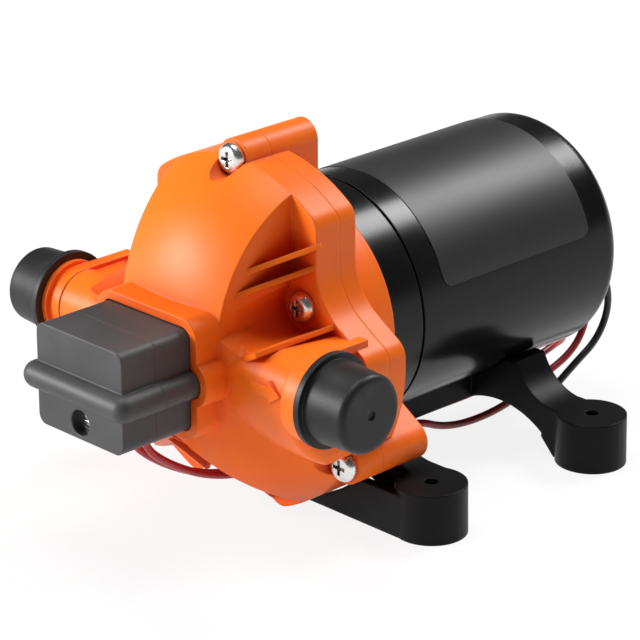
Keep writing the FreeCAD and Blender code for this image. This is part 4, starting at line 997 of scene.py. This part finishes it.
@dataclass
class Studio:
    """Pale floor, soft lamps and the camera."""

    eye: Point = (0.6781, -0.6954, 0.4308)
    target: Point = (-0.00084, -0.0253, 0.04915)
    lens: float = 180.7
    sensor: float = 36.0
    nearest: float = 0.05
    furthest: float = 50.0
    floor_size: float = 12.0
    floor_colour: Colour = (0.95, 0.95, 0.95)
    white_share: float = 0.86
    world_strength: float = 0.10
    backdrop_edge: tuple[float, float] = (0.0, 0.12)
    lamps: tuple[Lamp, ...] = (
        Lamp("key", (-0.90, -1.15, 0.50), 0.50, 26.0),
        Lamp("over", (-0.15, -0.10, 1.45), 0.60, 11.0),
        Lamp("back", (0.15, 1.00, 1.10), 0.45, 15.0),
    )

    def build(self) -> None:
        """Set the studio up."""
        self.place_camera()
        self.lay_floor()
        self.light_world()
        for lamp in self.lamps:
            self.hang(lamp)
        bpy.context.scene.view_settings.view_transform = "Standard"

    def place_camera(self) -> None:
        """Stand the camera where the photograph was taken from."""
        data = bpy.data.cameras.new("camera")
        data.lens = self.lens
        data.sensor_width = self.sensor
        data.clip_start = self.nearest
        data.clip_end = self.furthest
        camera = bpy.data.objects.new("camera", data)
        self.aim(camera, self.eye)
        bpy.context.scene.camera = camera

    def lay_floor(self) -> None:
        """Lay a pale floor that shows white but keeps the pump's shadow."""
        bpy.ops.object.select_all(action="DESELECT")
        bpy.ops.mesh.primitive_plane_add(size=self.floor_size)
        floor = bpy.context.object
        floor.name = "floor"
        board = Board.named("floor_paper")
        paper = board.node("ShaderNodeBsdfDiffuse", None, {"Color": opaque(self.floor_colour)})
        glow = board.node("ShaderNodeEmission", None, {"Color": opaque(WHITE)})
        shown = board.rays("Is Camera Ray", "Is Glossy Ray", "Is Transmission Ray")
        values = {0: shown * self.white_share, 1: paper.outputs[0], 2: glow.outputs[0]}
        both = board.node("ShaderNodeMixShader", None, values)
        board.node("ShaderNodeOutputMaterial", None, {"Surface": both.outputs[0]})
        floor.data.materials.append(board.owner)

    def light_world(self) -> None:
        """Light the room evenly, and show it white."""
        board = Board(bpy.data.worlds.new("room"))
        bpy.context.scene.world = board.owner
        light = {"Color": opaque(WHITE), "Strength": self.world_strength}
        even = board.node("ShaderNodeBackground", None, light)
        sight = board.node("ShaderNodeBackground", None, {**light, "Strength": 1.0})
        way = board.node("ShaderNodeTexCoord").outputs["Generated"]
        rise = Wire(board, board.node("ShaderNodeSeparateXYZ", None, {"Vector": way}).outputs["Z"])
        backdrop = 1.0 - rise.ramp(*self.backdrop_edge)
        mirrored = board.rays("Is Glossy Ray", "Is Transmission Ray") * backdrop
        shown = (board.rays("Is Camera Ray") + mirrored).clamped()
        values = {0: shown, 1: even.outputs[0], 2: sight.outputs[0]}
        both = board.node("ShaderNodeMixShader", None, values)
        board.node("ShaderNodeOutputWorld", None, {"Surface": both.outputs[0]})

    def hang(self, lamp: Lamp) -> None:
        """Hang one lamp, turned towards the pump.

        Args:
            lamp: The lamp.
        """
        data = bpy.data.lights.new(lamp.name, "AREA")
        data.size = lamp.side
        data.energy = lamp.power
        self.aim(bpy.data.objects.new(lamp.name, data), lamp.place)

    def aim(self, thing: bpy.types.Object, place: Point) -> None:
        """Put a camera or a lamp in the scene, turned towards the pump.

        Args:
            thing: The camera or lamp.
            place: Where it stands, in metres.
        """
        thing.location = place
        towards = Vector(self.target) - Vector(place)
        thing.rotation_euler = towards.to_track_quat("-Z", "Y").to_euler()
        bpy.context.scene.collection.objects.link(thing)


def main() -> None:
    """Build the studio, the leads and every sub-assembly in order."""
    logging.basicConfig(level=logging.INFO)
    Studio().build()
    wardrobe = Wardrobe()
    Leads().build(wardrobe)
    assemblies = (PumpHead(), PortCaps(), PressureSwitch(), Motor(), Bracket())
    for assembly in assemblies:
        assembly.build(wardrobe)


if __name__ == "__main__":
    main()
